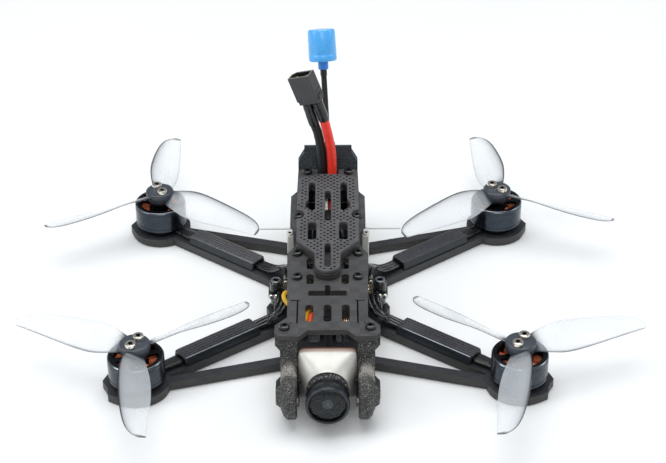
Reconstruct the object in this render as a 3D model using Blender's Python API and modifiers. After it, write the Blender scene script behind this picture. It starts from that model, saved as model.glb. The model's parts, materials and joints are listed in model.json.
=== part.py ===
"""A 3.5 inch class racing quadcopter: carbon frame, four motors with three-blade propellers,
tilting camera, electronics stack, battery leads and video antenna.

The nose points along -Y and +Z is up. Metres; the constants below are in millimetres.
The machine's own left is +X. The origin is on the ground under the middle of the machine.
"""

import math

import bmesh
import bpy
from mathutils import Matrix, Vector

for old in list(bpy.data.objects):
    bpy.data.objects.remove(old, do_unlink=True)

MM = 0.001
GAP = 0.3

# Frame plates
PLATE_T = 3.0
MOTOR_X = 63.0
MOTOR_Y = 48.5
PAD_R = 10.8
ARM_HALF_TIP = 4.1
ARM_HALF_ROOT = 4.5
BRACE_HALF = 1.85
FRONT_PLATE_Z = (25.0, 27.0)
REAR_PLATE_Z = (27.3, 29.3)
PAD_Z = (29.6, 30.8)

# Stack
STACK_Y = -6.25
STACK_HOLE = 18.03
BOARD_Z = (8.6, 9.8)
POST_R = 2.4
POST_FOOT_R = 2.1
POST_TOP = 14.7
VTX_X = 12.6
VTX_Y = (17.8, 39.0)
VTX_Z = (8.0, 19.0)
FLANGE_X = 14.4
FLANGE_Y = (15.4, 18.4)

# Standoffs
STANDOFF_R = 2.3
STANDOFFS = {
    "mid_left": (10.2, -23.7, FRONT_PLATE_Z[0]),
    "mid_right": (-10.2, -23.7, FRONT_PLATE_Z[0]),
    "rear_left": (10.3, 11.1, REAR_PLATE_Z[0]),
    "rear_right": (-10.3, 11.1, REAR_PLATE_Z[0]),
    "tail_left": (7.5, 42.0, REAR_PLATE_Z[0]),
    "tail_right": (-7.5, 42.0, REAR_PLATE_Z[0]),
}

# Motors
BASE_Z = (3.3, 4.7)
BELL_R = 9.4
BELL_WALL = 1.0
BELL_Z = (5.0, 13.6)
BOSS_R = 3.9
SHAFT_R = 0.8
HUB_R = 5.1
HUB_Z = (13.9, 18.5)
PROP_R = 45.0
SCREW_PITCH_R = 2.5
SCREW_HEAD_R = 1.85

# Corner name: (side of X, side of Y, turning sense seen from above, first blade, screws)
CORNERS = {
    "fr": (-1, -1, -1, 34.2, 65.0),
    "fl": (1, -1, 1, 21.0, 60.0),
    "rr": (-1, 1, 1, 89.6, -62.0),
    "rl": (1, 1, -1, 93.9, -46.0),
}

# Wire covers along the arms, measured from the frame's centre
COVER_SPAN = (32.0, 62.5)
COVER_HALF = 3.7
COVER_TOP_HALF = 3.15
COVER_TOP = 6.1
WIRE_R = 0.7
WIRE_PITCH = 1.35
WIRE_Z = 4.15
WIRE_SPREAD = 1.08

# Camera
CAMERA_PIVOT = (-61.0, 12.1)
CAMERA_HALF = 9.4
CAMERA_TILT = math.radians(-1.5)
MOUNT_X = (9.75, 15.3)
NOSE = (-65.9, 9.5)
NOSE_R = 7.4
NOSE_TOP = NOSE[1] + NOSE_R
LENS_R = 7.05

# Tail, antenna and battery leads
TAIL_X = 10.9
ANTENNA_BASE = Vector((0.3, 48.6, 31.0))
ANTENNA_LEAN = math.radians(22.0)
ANTENNA_SIDE = math.radians(3.0)
ANTENNA_TUBE_R = 1.05
LEAD_R = 1.7
CONNECTOR_AT = (-6.05, 42.0, 60.2)
CONNECTOR_LEAN = math.radians(-22.1)
CONNECTOR_TURN = math.radians(-24.3)
CONNECTOR_NOD = math.radians(-3.7)

parts = bpy.data.collections.new("fpv_racing_drone")
cutters = bpy.data.collections.new("cutters")
for new_collection in (parts, cutters):
    bpy.context.scene.collection.children.link(new_collection)
cutters.hide_render = True


# ---------------------------------------------------------------- materials
def material(name, rgb, roughness, metallic=0.0, alpha=1.0):
    made = bpy.data.materials.new(name)
    made.use_nodes = True
    shader = made.node_tree.nodes["Principled BSDF"]
    shader.inputs["Base Color"].default_value = (*rgb, 1.0)
    shader.inputs["Roughness"].default_value = roughness
    shader.inputs["Metallic"].default_value = metallic
    shader.inputs["Alpha"].default_value = alpha
    made.diffuse_color = (*rgb, 1.0)
    return made


CARBON = material("carbon_plate", (0.055, 0.056, 0.06), 0.5)
RUBBER = material("grip_rubber", (0.09, 0.09, 0.095), 0.85)
TPU = material("printed_tpu", (0.035, 0.036, 0.04), 0.7)
BOARD = material("circuit_board", (0.012, 0.02, 0.016), 0.45)
SILVER = material("cast_aluminium", (0.62, 0.61, 0.57), 0.35, 1.0)
CHAMPAGNE = material("anodised_housing", (0.66, 0.64, 0.59), 0.3, 1.0)
GUNMETAL = material("anodised_gunmetal", (0.09, 0.10, 0.11), 0.35, 1.0)
STEEL = material("screw_steel", (0.55, 0.53, 0.5), 0.25, 1.0)
COPPER = material("copper_winding", (0.75, 0.27, 0.12), 0.3, 1.0)
SMOKE = material("smoked_polycarbonate", (0.16, 0.17, 0.18), 0.2)
COVER = material("cover_plastic", (0.05, 0.052, 0.058), 0.3)
SLEEVE = material("wire_sleeve", (0.012, 0.013, 0.015), 0.3)
BLUE = material("blue_abs", (0.09, 0.36, 0.86), 0.35)
COAX = material("coax_jacket", (0.012, 0.013, 0.015), 0.4)
WHITE = material("antenna_element", (0.75, 0.75, 0.72), 0.5)
RED_LEAD = material("red_silicone", (0.85, 0.03, 0.02), 0.45)
BLACK_LEAD = material("black_silicone", (0.02, 0.02, 0.022), 0.5)
NYLON = material("connector_nylon", (0.045, 0.046, 0.05), 0.5)
GOLD = material("gold_contact", (0.9, 0.62, 0.22), 0.25, 1.0)
BARREL = material("lens_barrel_black", (0.012, 0.013, 0.015), 0.35)
GLASS = material("coated_glass", (0.01, 0.035, 0.045), 0.05)


# ---------------------------------------------------------------- helpers
def place(obj, mat, smooth=None):
    parts.objects.link(obj)
    obj.data.materials.clear()
    obj.data.materials.append(mat)
    if smooth is not None and obj.type == "MESH":
        obj.data.shade_smooth()
        obj.data.set_sharp_from_angle(angle=math.radians(smooth))
    return obj


def from_bmesh(name, bm):
    bmesh.ops.recalc_face_normals(bm, faces=bm.faces)
    mesh = bpy.data.meshes.new(name)
    bm.to_mesh(mesh)
    bm.free()
    return bpy.data.objects.new(name, mesh)


def box(name, low, high):
    bm = bmesh.new()
    bmesh.ops.create_cube(bm, size=1.0)
    low, high = Vector(low) * MM, Vector(high) * MM
    bmesh.ops.scale(bm, vec=high - low, verts=bm.verts)
    bmesh.ops.translate(bm, vec=(low + high) / 2, verts=bm.verts)
    return from_bmesh(name, bm)


def cylinder(name, radius, low, high, segments=32, top_radius=None, matrix=None):
    """A cylinder or cone along Z from low to high, then moved by matrix."""
    bm = bmesh.new()
    bmesh.ops.create_cone(
        bm,
        cap_ends=True,
        segments=segments,
        radius1=radius * MM,
        radius2=(radius if top_radius is None else top_radius) * MM,
        depth=(high - low) * MM,
    )
    bmesh.ops.translate(bm, vec=(0, 0, (low + high) / 2 * MM), verts=bm.verts)
    if matrix:
        bmesh.ops.transform(bm, matrix=matrix, verts=bm.verts)
    return from_bmesh(name, bm)


def at(x, y, z=0.0):
    return Matrix.Translation(Vector((x, y, z)) * MM)


def mesh_of(curve_object):
    """The curve object's evaluated mesh with its caps welded; the curve is removed."""
    holder = bpy.context.scene.collection
    holder.objects.link(curve_object)
    bpy.context.view_layer.update()
    graph = bpy.context.evaluated_depsgraph_get()
    mesh = bpy.data.meshes.new_from_object(curve_object.evaluated_get(graph))
    name = curve_object.name
    bpy.data.objects.remove(curve_object, do_unlink=True)
    bm = bmesh.new()
    bm.from_mesh(mesh)
    bmesh.ops.remove_doubles(bm, verts=bm.verts, dist=1e-6)
    bmesh.ops.recalc_face_normals(bm, faces=bm.faces)
    bm.to_mesh(mesh)
    bm.free()
    mesh.name = name
    return bpy.data.objects.new(name, mesh)


def prism(name, outline, low, high, holes=(), matrix=None):
    """A flat outline with optional holes, extruded along Z from low to high."""
    curve = bpy.data.curves.new(name, "CURVE")
    curve.dimensions = "2D"
    curve.fill_mode = "BOTH"
    curve.extrude = (high - low) / 2 * MM
    for ring in (outline, *holes):
        spline = curve.splines.new("POLY")
        spline.points.add(len(ring) - 1)
        for point, (x, y) in zip(spline.points, ring):
            point.co = (x * MM, y * MM, 0.0, 1.0)
        spline.use_cyclic_u = True
    obj = mesh_of(bpy.data.objects.new(name, curve))
    obj.data.transform(Matrix.Translation((0, 0, (low + high) / 2 * MM)))
    if matrix:
        obj.data.transform(matrix)
    return obj


def mirrored(half):
    """A whole outline from its half at +X, listed from the axis back to the axis."""
    half = list(half)
    for end, neighbour in ((0, 1), (-1, -2)):
        if abs(half[end][0]) < 1e-6 and abs(half[end][1] - half[neighbour][1]) < 1e-6:
            half.pop(end)
    return half + [(-x, y) for x, y in reversed(half) if abs(x) > 1e-6]


def slot(x0, x1, y0, y1, corner=0.9, steps=2):
    """A rounded rectangle."""
    points = []
    centres = ((x1, y1, 0), (x0, y1, 90), (x0, y0, 180), (x1, y0, 270))
    corner = min(corner, (x1 - x0) / 2 - 0.01, (y1 - y0) / 2 - 0.01)
    for x, y, start in centres:
        cx = x - corner if x == x1 else x + corner
        cy = y - corner if y == y1 else y + corner
        for k in range(steps + 1):
            a = math.radians(start + 90 * k / steps)
            points.append((cx + corner * math.cos(a), cy + corner * math.sin(a)))
    return points


def flipped(ring):
    return [(-x, y) for x, y in ring]


def turned(name, profile, segments=32, matrix=None):
    """A profile of (radius, height) from top to bottom, turned about Z."""
    bm = bmesh.new()
    verts = [bm.verts.new((r * MM, 0, z * MM)) for r, z in profile]
    for a, b in zip(verts, verts[1:]):
        bm.edges.new((a, b))
    if profile[0][0] > 0:
        bm.edges.new((verts[-1], verts[0]))
    mesh = bpy.data.meshes.new(name)
    bm.to_mesh(mesh)
    bm.free()
    obj = bpy.data.objects.new(name, mesh)
    screw = obj.modifiers.new("turn", "SCREW")
    screw.axis = "Z"
    screw.angle = 2 * math.pi
    screw.steps = screw.render_steps = segments
    screw.use_merge_vertices = True
    screw.merge_threshold = 1e-6
    screw.use_smooth_shade = False
    obj = mesh_of(obj)
    if matrix:
        obj.data.transform(matrix)
    return obj


def boolean(target, tools, operation):
    for tool in tools:
        cutters.objects.link(tool)
        tool.hide_render = True
        tool.display_type = "WIRE"
        step = target.modifiers.new(tool.name, "BOOLEAN")
        step.operation = operation
        step.solver = "EXACT"
        step.object = tool
    return target


def smooth_path(knots, spacing):
    """Points along a Catmull-Rom curve through the knots, about the spacing apart."""
    knots = [Vector(k) for k in knots]
    ends = [knots[0] * 2 - knots[1]] + knots + [knots[-1] * 2 - knots[-2]]
    fine = []
    for p0, p1, p2, p3 in zip(ends, ends[1:], ends[2:], ends[3:]):
        for k in range(24):
            t = k / 24
            fine.append(
                0.5
                * (
                    2 * p1
                    + (p2 - p0) * t
                    + (2 * p0 - 5 * p1 + 4 * p2 - p3) * t * t
                    + (3 * p1 - p0 - 3 * p2 + p3) * t**3
                )
            )
    fine.append(knots[-1])
    total = sum((b - a).length for a, b in zip(fine, fine[1:]))
    count = max(2, round(total / spacing))
    wanted = [total * k / count for k in range(count + 1)]
    points, gone, index = [], 0.0, 0
    for goal in wanted:
        while index < len(fine) - 2 and gone + (fine[index + 1] - fine[index]).length < goal:
            gone += (fine[index + 1] - fine[index]).length
            index += 1
        step = fine[index + 1] - fine[index]
        share = (goal - gone) / step.length if step.length else 0.0
        points.append(fine[index] + step * min(1.0, share))
    return points


def tube(name, points, radius, profile=None):
    curve = bpy.data.curves.new(name, "CURVE")
    curve.dimensions = "3D"
    curve.use_fill_caps = True
    curve.twist_mode = "Z_UP" if profile else "MINIMUM"
    if profile:
        curve.bevel_mode = "OBJECT"
        curve.bevel_object = profile
    else:
        curve.bevel_depth = radius * MM
        curve.bevel_resolution = 2
    spline = curve.splines.new("POLY")
    spline.points.add(len(points) - 1)
    for point, where in zip(spline.points, points):
        point.co = (where[0] * MM, where[1] * MM, where[2] * MM, 1.0)
    return bpy.data.objects.new(name, curve)


def empty(name, where):
    made = bpy.data.objects.new(name, None)
    made.empty_display_size = 0.01
    made.location = Vector(where) * MM
    parts.objects.link(made)
    return made


def hang(child, parent):
    """Parents without moving: the child's mesh is already in its parent's coordinates."""
    child.parent = parent
    return child


# ---------------------------------------------------------------- bottom plate
def along_arm(sx, sy, distance, offset=0.0):
    """A point on an arm's top, from the centre of the frame, offset to its left."""
    reach = math.hypot(MOTOR_X, MOTOR_Y)
    ux, uy = sx * MOTOR_X / reach, sy * MOTOR_Y / reach
    return ux * distance - uy * offset, uy * distance + ux * offset


def pad_outline(sx, sy):
    """A round motor pad with two small bumper lobes and a notch between them, outboard."""
    notch = math.degrees(math.atan2(sy * 0.36, sx))
    ring = []
    for k in range(28):
        angle = 360 * k / 28
        off = (angle - notch + 180) % 360 - 180
        lobe = math.exp(-(((abs(off) - 19.0) / 11.0) ** 2))
        dip = math.exp(-((off / 8.0) ** 2))
        r = PAD_R + 0.8 * lobe - 0.9 * dip
        a = math.radians(angle)
        ring.append((sx * MOTOR_X + r * math.cos(a), sy * MOTOR_Y + r * math.sin(a)))
    return ring


def strip(start, end, half_start, half_end):
    """A straight strip from start to end, as an outline."""
    a, b = Vector(start), Vector(end)
    side = Vector((-(b - a).y, (b - a).x)).normalized()
    corners = (a + side * half_start, a - side * half_start)
    corners += (b - side * half_end, b + side * half_end)
    return [tuple(c) for c in corners]


body_half = [
    (0.0, -48.6),
    (9.4, -48.6),
    (9.4, -56.6),
    (15.4, -56.6),
    (17.2, -54.8),
    (17.2, -49.0),
    (14.3, -44.0),
    (14.3, -8.9),
    (18.2, -9.9),
    (20.6, -8.8),
    (21.7, -6.25),
    (20.6, -3.7),
    (18.2, -2.6),
    (14.3, -3.6),
    (14.3, 38.5),
    (11.0, 41.5),
    (11.0, 43.6),
    (9.9, 44.7),
    (0.0, 44.7),
]
windows = [
    slot(2.8, 7.1, -27.4, -13.0, 0.9),
    slot(-7.1, -2.8, -27.4, -13.0, 0.9),
    slot(-6.0, 6.0, -44.0, -33.5, 2.0),
    slot(-7.5, 7.5, 17.0, 36.0, 2.5),
]
main_frame = prism("main_frame", mirrored(body_half), 0.0, PLATE_T, windows)
pieces = []
for corner, (sx, sy, *_) in CORNERS.items():
    inner = along_arm(sx, sy, 12.5)
    outer = along_arm(sx, sy, math.hypot(MOTOR_X, MOTOR_Y) - 6.0)
    arm = strip(inner, outer, ARM_HALF_ROOT, ARM_HALF_TIP)
    pieces.append(prism("arm_" + corner, arm, 0.0, PLATE_T))
    pieces.append(prism("pad_" + corner, pad_outline(sx, sy), 0.0, PLATE_T))
    root_y = 36.4 if sy < 0 else 32.8
    tip_y = 48.6 if sy < 0 else 45.0
    ends = (sx * 12.0, sy * root_y), (sx * 54.0, sy * tip_y)
    brace = strip(*ends, BRACE_HALF, BRACE_HALF)
    pieces.append(prism("brace_" + corner, brace, 0.0, PLATE_T))
place(boolean(main_frame, pieces, "UNION"), CARBON)

# ---------------------------------------------------------------- top plates and pad
front_half = [
    (0.0, -3.5),
    (11.4, -3.5),
    (12.4, -6.2),
    (13.9, -8.8),
    (13.1, -46.6),
    (17.0, -51.2),
    (17.0, -55.4),
    (15.6, -57.2),
    (9.3, -57.5),
    (6.3, -53.9),
    (0.0, -53.9),
]
front_holes = [
    slot(4.6, 7.1, -18.4, -11.6, 1.0),
    slot(4.6, 7.1, -27.5, -21.5, 1.0),
    slot(4.7, 7.2, -49.1, -39.6, 1.1),
]
front_holes += [flipped(ring) for ring in front_holes]
front_holes.append(slot(-1.25, 1.25, -49.1, -39.6, 1.1))
tee = [(0.9, -31.4), (0.9, -28.6), (0.4, -28.0)]
tee = [(0.0, -34.4), (5.9, -34.4), (6.4, -33.9), (6.4, -31.9), (5.9, -31.4)] + tee
front_holes.append(mirrored(tee + [(0.0, -28.0)]))
slit = [(9.6, -50.0), (10.1, -50.0), (10.1, -37.3), (12.2, -37.3), (12.2, -36.8)]
slit += [(9.1, -36.8), (9.1, -37.3), (9.6, -37.3)]
front_holes += [slit, flipped(slit)]
front_top_plate = prism(
    "front_top_plate", mirrored(front_half), *FRONT_PLATE_Z, front_holes
)
place(front_top_plate, CARBON)

tongue = []
for k in range(1, 9):
    a = math.radians(90 * k / 8)
    tongue.append((4.3 * math.cos(a), -21.6 - 4.0 * math.sin(a)))
rear_half = [
    (0.0, 39.2),
    (3.8, 39.2),
    (3.8, 44.6),
    (9.8, 44.6),
    (10.9, 43.4),
    (11.1, 28.7),
    (13.2, 25.3),
    (13.2, 7.0),
    (11.2, 4.0),
    (10.9, -5.8),
    (4.6, -14.0),
    (4.3, -21.6),
]
hooked = [(4.5, 14.4), (5.6, 13.4), (7.9, 16.3), (7.9, 19.0), (6.9, 21.5)]
hooked += [(6.9, 32.2), (5.7, 33.2), (4.5, 32.2)]
slots_half = [hooked, slot(3.9, 6.9, -5.5, 5.8, 1.0)]
rear_holes = slots_half + [flipped(ring) for ring in slots_half]
rear_holes.append(slot(-1.1, 1.1, 6.8, 27.1, 1.0))
rear_holes.append(slot(-1.05, 1.05, -22.5, -7.8, 1.0))
rear_outline = mirrored(rear_half + tongue)
place(prism("rear_top_plate", rear_outline, *REAR_PLATE_Z, rear_holes), CARBON)

pad_half = [
    (0.0, 38.9),
    (3.7, 38.9),
    (5.3, 37.6),
    (8.6, 37.2),
    (10.7, 35.6),
    (10.9, 28.6),
    (11.0, 14.2),
    (9.0, 13.4),
    (8.2, 11.1),
    (9.0, 8.8),
    (11.0, 8.0),
    (10.7, -5.6),
    (4.4, -13.8),
    (4.1, -21.4),
]
pad_tip = [(0.95 * x, y + 0.3) for x, y in tongue]
battery_pad = prism("battery_pad", mirrored(pad_half + pad_tip), *PAD_Z, rear_holes)
place(battery_pad, RUBBER)

# ---------------------------------------------------------------- standoffs
for spot, (x, y, top) in STANDOFFS.items():
    post = cylinder(
        "standoff_" + spot, STANDOFF_R, PLATE_T + GAP, top - GAP, 12, matrix=at(x, y)
    )
    place(post, GUNMETAL, 30)

# ---------------------------------------------------------------- electronics
board_half = [(0.0, 20.8), (2.6, 20.8), (20.8, 2.6), (20.8, -2.6), (2.6, -20.8), (0.0, -20.8)]
flight_controller = prism(
    "flight_controller", mirrored(board_half), *BOARD_Z, matrix=at(0, STACK_Y)
)
post_profile = [
    (0.0, POST_TOP),
    (1.9, POST_TOP),
    (1.9, POST_TOP - 0.7),
    (POST_R, POST_TOP - 0.9),
    (POST_R, BOARD_Z[1] - 0.3),
    (POST_FOOT_R, BOARD_Z[1] - 0.3),
    (POST_FOOT_R, PLATE_T + GAP),
    (0.0, PLATE_T + GAP),
]
extras = []
for k in range(4):
    a = math.radians(90 * k)
    where = at(STACK_HOLE * math.cos(a), STACK_Y + STACK_HOLE * math.sin(a))
    extras.append(turned("grommet_%d" % k, post_profile, 16, where))
chip = box("processor", (-3.5, -3.5, BOARD_Z[1] - 0.4), (3.5, 3.5, BOARD_Z[1] + 0.9))
chip.data.transform(at(0, STACK_Y) @ Matrix.Rotation(math.radians(45), 4, "Z"))
extras.append(chip)
port = box("side_port", (10.5, -4.0, BOARD_Z[0] - 2.6), (16.3, 4.0, BOARD_Z[0] + 0.4))
port.data.transform(at(0, STACK_Y) @ Matrix.Rotation(math.radians(45), 4, "Z"))
extras.append(port)
place(boolean(flight_controller, extras, "UNION"), BOARD)

video_transmitter = box(
    "video_transmitter", (-VTX_X, VTX_Y[0], VTX_Z[0]), (VTX_X, VTX_Y[1], VTX_Z[1])
)
joined = [
    box("vtx_flange", (-FLANGE_X, FLANGE_Y[0], VTX_Z[0]), (FLANGE_X, FLANGE_Y[1], 18.4))
]
screw_holes = []
for k, (sx, y) in enumerate(((1, 18.2), (-1, 18.2), (1, 36.0), (-1, 36.0))):
    foot = at(sx * 11.0, y)
    joined.append(cylinder("vtx_foot_%d" % k, 1.6, PLATE_T + GAP, VTX_Z[0] + 0.5, 8, matrix=foot))
for sx in (-1, 1):
    lug = at(sx * 13.6, 17.2)
    joined.append(cylinder("vtx_lug_%d" % sx, 1.3, VTX_Z[0] + 0.5, 19.3, 12, matrix=lug))
    screw_holes.append(cylinder("vtx_screw_hole_%d" % sx, 0.65, 17.0, 21.0, 6, matrix=lug))
boolean(video_transmitter, joined, "UNION")
place(boolean(video_transmitter, screw_holes, "DIFFERENCE"), SILVER)

antenna_y = 8.0
antenna_z = 26.6
sideways = Matrix.Rotation(math.radians(90), 4, "Y")
receiver = cylinder("receiver_antenna", 0.45, -24.1, 25.4, 8)
receiver.data.transform(at(0, antenna_y, antenna_z) @ sideways)
place(receiver, WHITE, 40)


# ---------------------------------------------------------------- wires and their covers
def ribbon_profile():
    """Three round wires side by side, as one closed outline."""
    dip = math.degrees(math.acos(WIRE_PITCH / 2 / WIRE_R))
    arcs = (
        (WIRE_PITCH, -(180 - dip), 180 - dip, 6),
        (0.0, dip, 180 - dip, 2),
        (-WIRE_PITCH, dip, 360 - dip, 6),
        (0.0, 180 + dip, 360 - dip, 2),
    )
    points = []
    for centre, start, end, count in arcs:
        for k in range(count + 1):
            a = math.radians(start + (end - start) * k / count)
            spot = (centre + WIRE_R * math.cos(a), WIRE_R * math.sin(a))
            if not points or math.dist(points[-1], spot) > 0.05:
                points.append(spot)
    if math.dist(points[0], points[-1]) < 0.05:
        points.pop()
    curve = bpy.data.curves.new("wire_ribbon", "CURVE")
    curve.dimensions = "2D"
    spline = curve.splines.new("POLY")
    spline.points.add(len(points) - 1)
    for point, (x, y) in zip(spline.points, points):
        point.co = (x * MM, y * MM, 0.0, 1.0)
    spline.use_cyclic_u = True
    guide = bpy.data.objects.new("wire_ribbon", curve)
    guide.hide_render = True
    guide.display_type = "WIRE"
    cutters.objects.link(guide)
    return guide


ribbon = ribbon_profile()
cover_section = [
    (-COVER_HALF, PLATE_T + GAP),
    (-2.8, PLATE_T + GAP),
    (-2.5, 5.3),
    (2.5, 5.3),
    (2.8, PLATE_T + GAP),
    (COVER_HALF, PLATE_T + GAP),
    (COVER_TOP_HALF, COVER_TOP - 0.3),
    (COVER_TOP_HALF - 0.3, COVER_TOP),
    (0.3 - COVER_TOP_HALF, COVER_TOP),
    (-COVER_TOP_HALF, COVER_TOP - 0.3),
]
for corner, (sx, sy, *_) in CORNERS.items():
    heading = math.atan2(sy * MOTOR_Y, sx * MOTOR_X)
    lay = Matrix.Rotation(heading, 4, "Z") @ Matrix(
        ((0, 0, 1, 0), (1, 0, 0, 0), (0, 1, 0, 0), (0, 0, 0, 1))
    )
    cover = prism("wire_cover_" + corner, cover_section, *COVER_SPAN, matrix=lay)
    place(cover, COVER)
    route = [(*along_arm(sx, sy, s), WIRE_Z) for s in (70.6, 50.0, 31.0)]
    if sy < 0:
        bend = [(20.0, -16.6, 5.1), (17.4, -17.4, 7.7), (15.8, -16.2, 10.5), (15.1, -13.2, 11.2)]
        bend.append((15.0, -10.6, 11.2))
    else:
        bend = [(19.6, 14.6, 5.2), (16.4, 11.4, 7.8), (14.4, 8.0, 10.3), (13.6, 4.6, 11.0)]
        bend.append((13.2, 1.4, 11.0))
    curved = smooth_path([route[-1]] + [(sx * x, y, z) for x, y, z in bend], 3.0)
    wires = tube("motor_wires_" + corner, route[:-1] + curved, WIRE_R, ribbon)
    for point in wires.data.splines[0].points[len(route) :]:
        point.radius = WIRE_SPREAD
    place(mesh_of(wires), SLEEVE, 50)


# ---------------------------------------------------------------- motors
def stator_outline():
    """Nine teeth around a ring."""
    ring = []
    for k in range(9):
        a = math.radians(40 * k)
        for off, r in ((-16, 4.6), (-13, 7.7), (13, 7.7), (16, 4.6)):
            b = a + math.radians(off)
            ring.append((r * math.cos(b), r * math.sin(b)))
    return ring


def circle(radius, count, centre=(0.0, 0.0)):
    step = 2 * math.pi / count
    return [
        (centre[0] + radius * math.cos(step * k), centre[1] + radius * math.sin(step * k))
        for k in range(count)
    ]


def build_base():
    profile = [
        (2.9, 12.0),
        (2.9, BASE_Z[1]),
        (7.9, BASE_Z[1]),
        (8.2, BASE_Z[1] - 0.3),
        (8.2, BASE_Z[0]),
        (1.2, BASE_Z[0]),
        (1.2, 12.0),
    ]
    return turned("motor_base", profile, 20)


def build_bell():
    """An open-topped bell on four spokes, with its shaft and the two tapped holes."""
    outer, wall = BELL_R, BELL_WALL
    low, high = BELL_Z
    profile = [
        (outer - 0.4, high),
        (outer, high - 0.4),
        (outer, low + 0.4),
        (outer - 0.3, low),
        (outer - wall, low),
        (outer - wall, high - 1.7),
        (outer - 1.9, high - 1.3),
        (outer - 1.9, high),
    ]
    bell = turned("bell", profile, 24)
    top = high - 0.1
    boss = cylinder("bell_boss", BOSS_R, high - 1.4, top, 16)
    shaft = cylinder("bell_shaft", SHAFT_R, BASE_Z[0], high - 0.9, 8)
    tools = [boss, shaft]
    for k in range(2):
        bar = box("bell_bar_%d" % k, (-8.2, -1.1, high - 1.3), (8.2, 1.1, high - 0.25))
        bar.data.transform(Matrix.Rotation(math.radians(45 + 90 * k), 4, "Z"))
        tools.append(bar)
    boolean(bell, tools, "UNION")
    holes = []
    for side in (-1, 1):
        where = at(side * SCREW_PITCH_R, 0)
        holes.append(
            cylinder("tapped_%d" % side, 1.05, high - 2.4, high + 1.0, 8, matrix=where)
        )
    boolean(bell, holes, "DIFFERENCE")
    return bell


BLADE_STATIONS = [4.0, 7.0, 11.0, 16.0, 22.0, 28.0, 34.0, 39.0, 42.5, PROP_R]


def mix(table, r):
    for (r0, v0), (r1, v1) in zip(table, table[1:]):
        if r <= r1:
            return v0 + (v1 - v0) * (r - r0) / (r1 - r0)
    return table[-1][1]


LEADING = [(4, 2.9), (8, 3.9), (14, 4.7), (22, 4.8), (30, 4.3), (37, 3.3)]
LEADING += [(41.5, 1.9), (43.8, 0.2), (45, -1.6)]
TRAILING = [(4, -2.9), (8, -3.9), (14, -5.0), (22, -5.4), (30, -5.2), (45, -4.2)]
PITCH = [(4, 24), (8, 28), (14, 31), (18, 29), (26, 22), (34, 17), (45, 12)]
MIDLINE = [(4, 16.4), (12, 16.5), (30, 16.1), (45, 15.7)]
THICK = [(4, 1.5), (10, 1.2), (25, 0.85), (45, 0.55)]


def blade_section(r, sense):
    """A thin lens-shaped section across the blade at radius r, its leading edge high."""
    lead, trail = mix(LEADING, r), mix(TRAILING, r)
    angle = math.radians(mix(PITCH, r))
    middle, thick = mix(MIDLINE, r), mix(THICK, r)
    upper = [(0.0, 0.0), (0.25, 0.6), (0.65, 0.5)]
    lower = [(1.0, 0.0), (0.65, -0.3), (0.25, -0.38)]
    loop = []
    for share, up in upper + lower:
        across = lead + (trail - lead) * share
        z = middle + across * math.tan(angle) + up * thick
        loop.append(Vector((r, sense * across, z)) * MM)
    return loop


def build_propeller(name, sense, hole_angle):
    """Three blades on a hub with two clearance holes at hole_angle degrees from the
    first blade. sense +1 turns towards +angle."""
    profile = [
        (0.0, HUB_Z[1]),
        (HUB_R - 0.4, HUB_Z[1]),
        (HUB_R, HUB_Z[1] - 0.4),
        (HUB_R, HUB_Z[1] - 3.0),
        (3.9, HUB_Z[0]),
        (0.0, HUB_Z[0]),
    ]
    hub = turned(name, profile, 20)
    tools = []
    for k in range(3):
        bm = bmesh.new()
        rings = [
            [bm.verts.new(p) for p in blade_section(r, sense)] for r in BLADE_STATIONS
        ]
        for a, b in zip(rings, rings[1:]):
            for i in range(len(a)):
                j = (i + 1) % len(a)
                bm.faces.new((a[i], a[j], b[j], b[i]))
        bm.faces.new(rings[0])
        bm.faces.new(rings[-1])
        turn = Matrix.Rotation(math.radians(120 * k), 4, "Z")
        bmesh.ops.transform(bm, matrix=turn, verts=bm.verts)
        tools.append(from_bmesh("%s_blade_%d" % (name, k), bm))
    boolean(hub, tools, "UNION")
    holes = []
    for side in (-1, 1):
        where = Matrix.Rotation(math.radians(hole_angle), 4, "Z")
        where = where @ at(side * SCREW_PITCH_R, 0)
        tag = "clearance_%d" % side
        holes.append(cylinder(tag, 1.05, HUB_Z[0] - 1, HUB_Z[1] + 1, 10, matrix=where))
    return boolean(hub, holes, "DIFFERENCE")


def build_screw():
    """A socket-head screw, its head's underside at zero and its shank below."""
    head = cylinder("prop_screw", SCREW_HEAD_R, 0.0, 1.35, 16)
    shank = cylinder("prop_shank", 0.75, -6.4, 0.3, 8)
    boolean(head, [shank], "UNION")
    recess = cylinder("hex_socket", 0.85, 0.55, 2.0, 6)
    boolean(head, [recess], "DIFFERENCE")
    return head


def baked(obj):
    """The object's mesh with its modifiers applied; the tools they used are removed."""
    parts.objects.link(obj)
    bpy.context.view_layer.update()
    graph = bpy.context.evaluated_depsgraph_get()
    mesh = bpy.data.meshes.new_from_object(obj.evaluated_get(graph))
    spent = [step.object for step in obj.modifiers]
    bpy.data.objects.remove(obj, do_unlink=True)
    for tool in spent:
        bpy.data.objects.remove(tool, do_unlink=True)
    return mesh


base_mesh = baked(build_base())
bell_mesh = baked(build_bell())
stator = prism("stator", stator_outline(), 5.9, 11.6, [circle(3.2, 12)])
stator_mesh = baked(stator)
screw_mesh = baked(build_screw())


def motor_piece(name, mesh, mat, parent, angle=0.0, offset=(0.0, 0.0, 0.0)):
    """A piece on a motor's axis, turned by angle degrees, with its origin on that axis."""
    obj = bpy.data.objects.new(name, mesh.copy())
    obj.data.name = name
    obj.data.transform(at(*offset))
    obj.rotation_euler.z = math.radians(angle)
    obj.parent = parent
    return place(obj, mat, 30)


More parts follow.
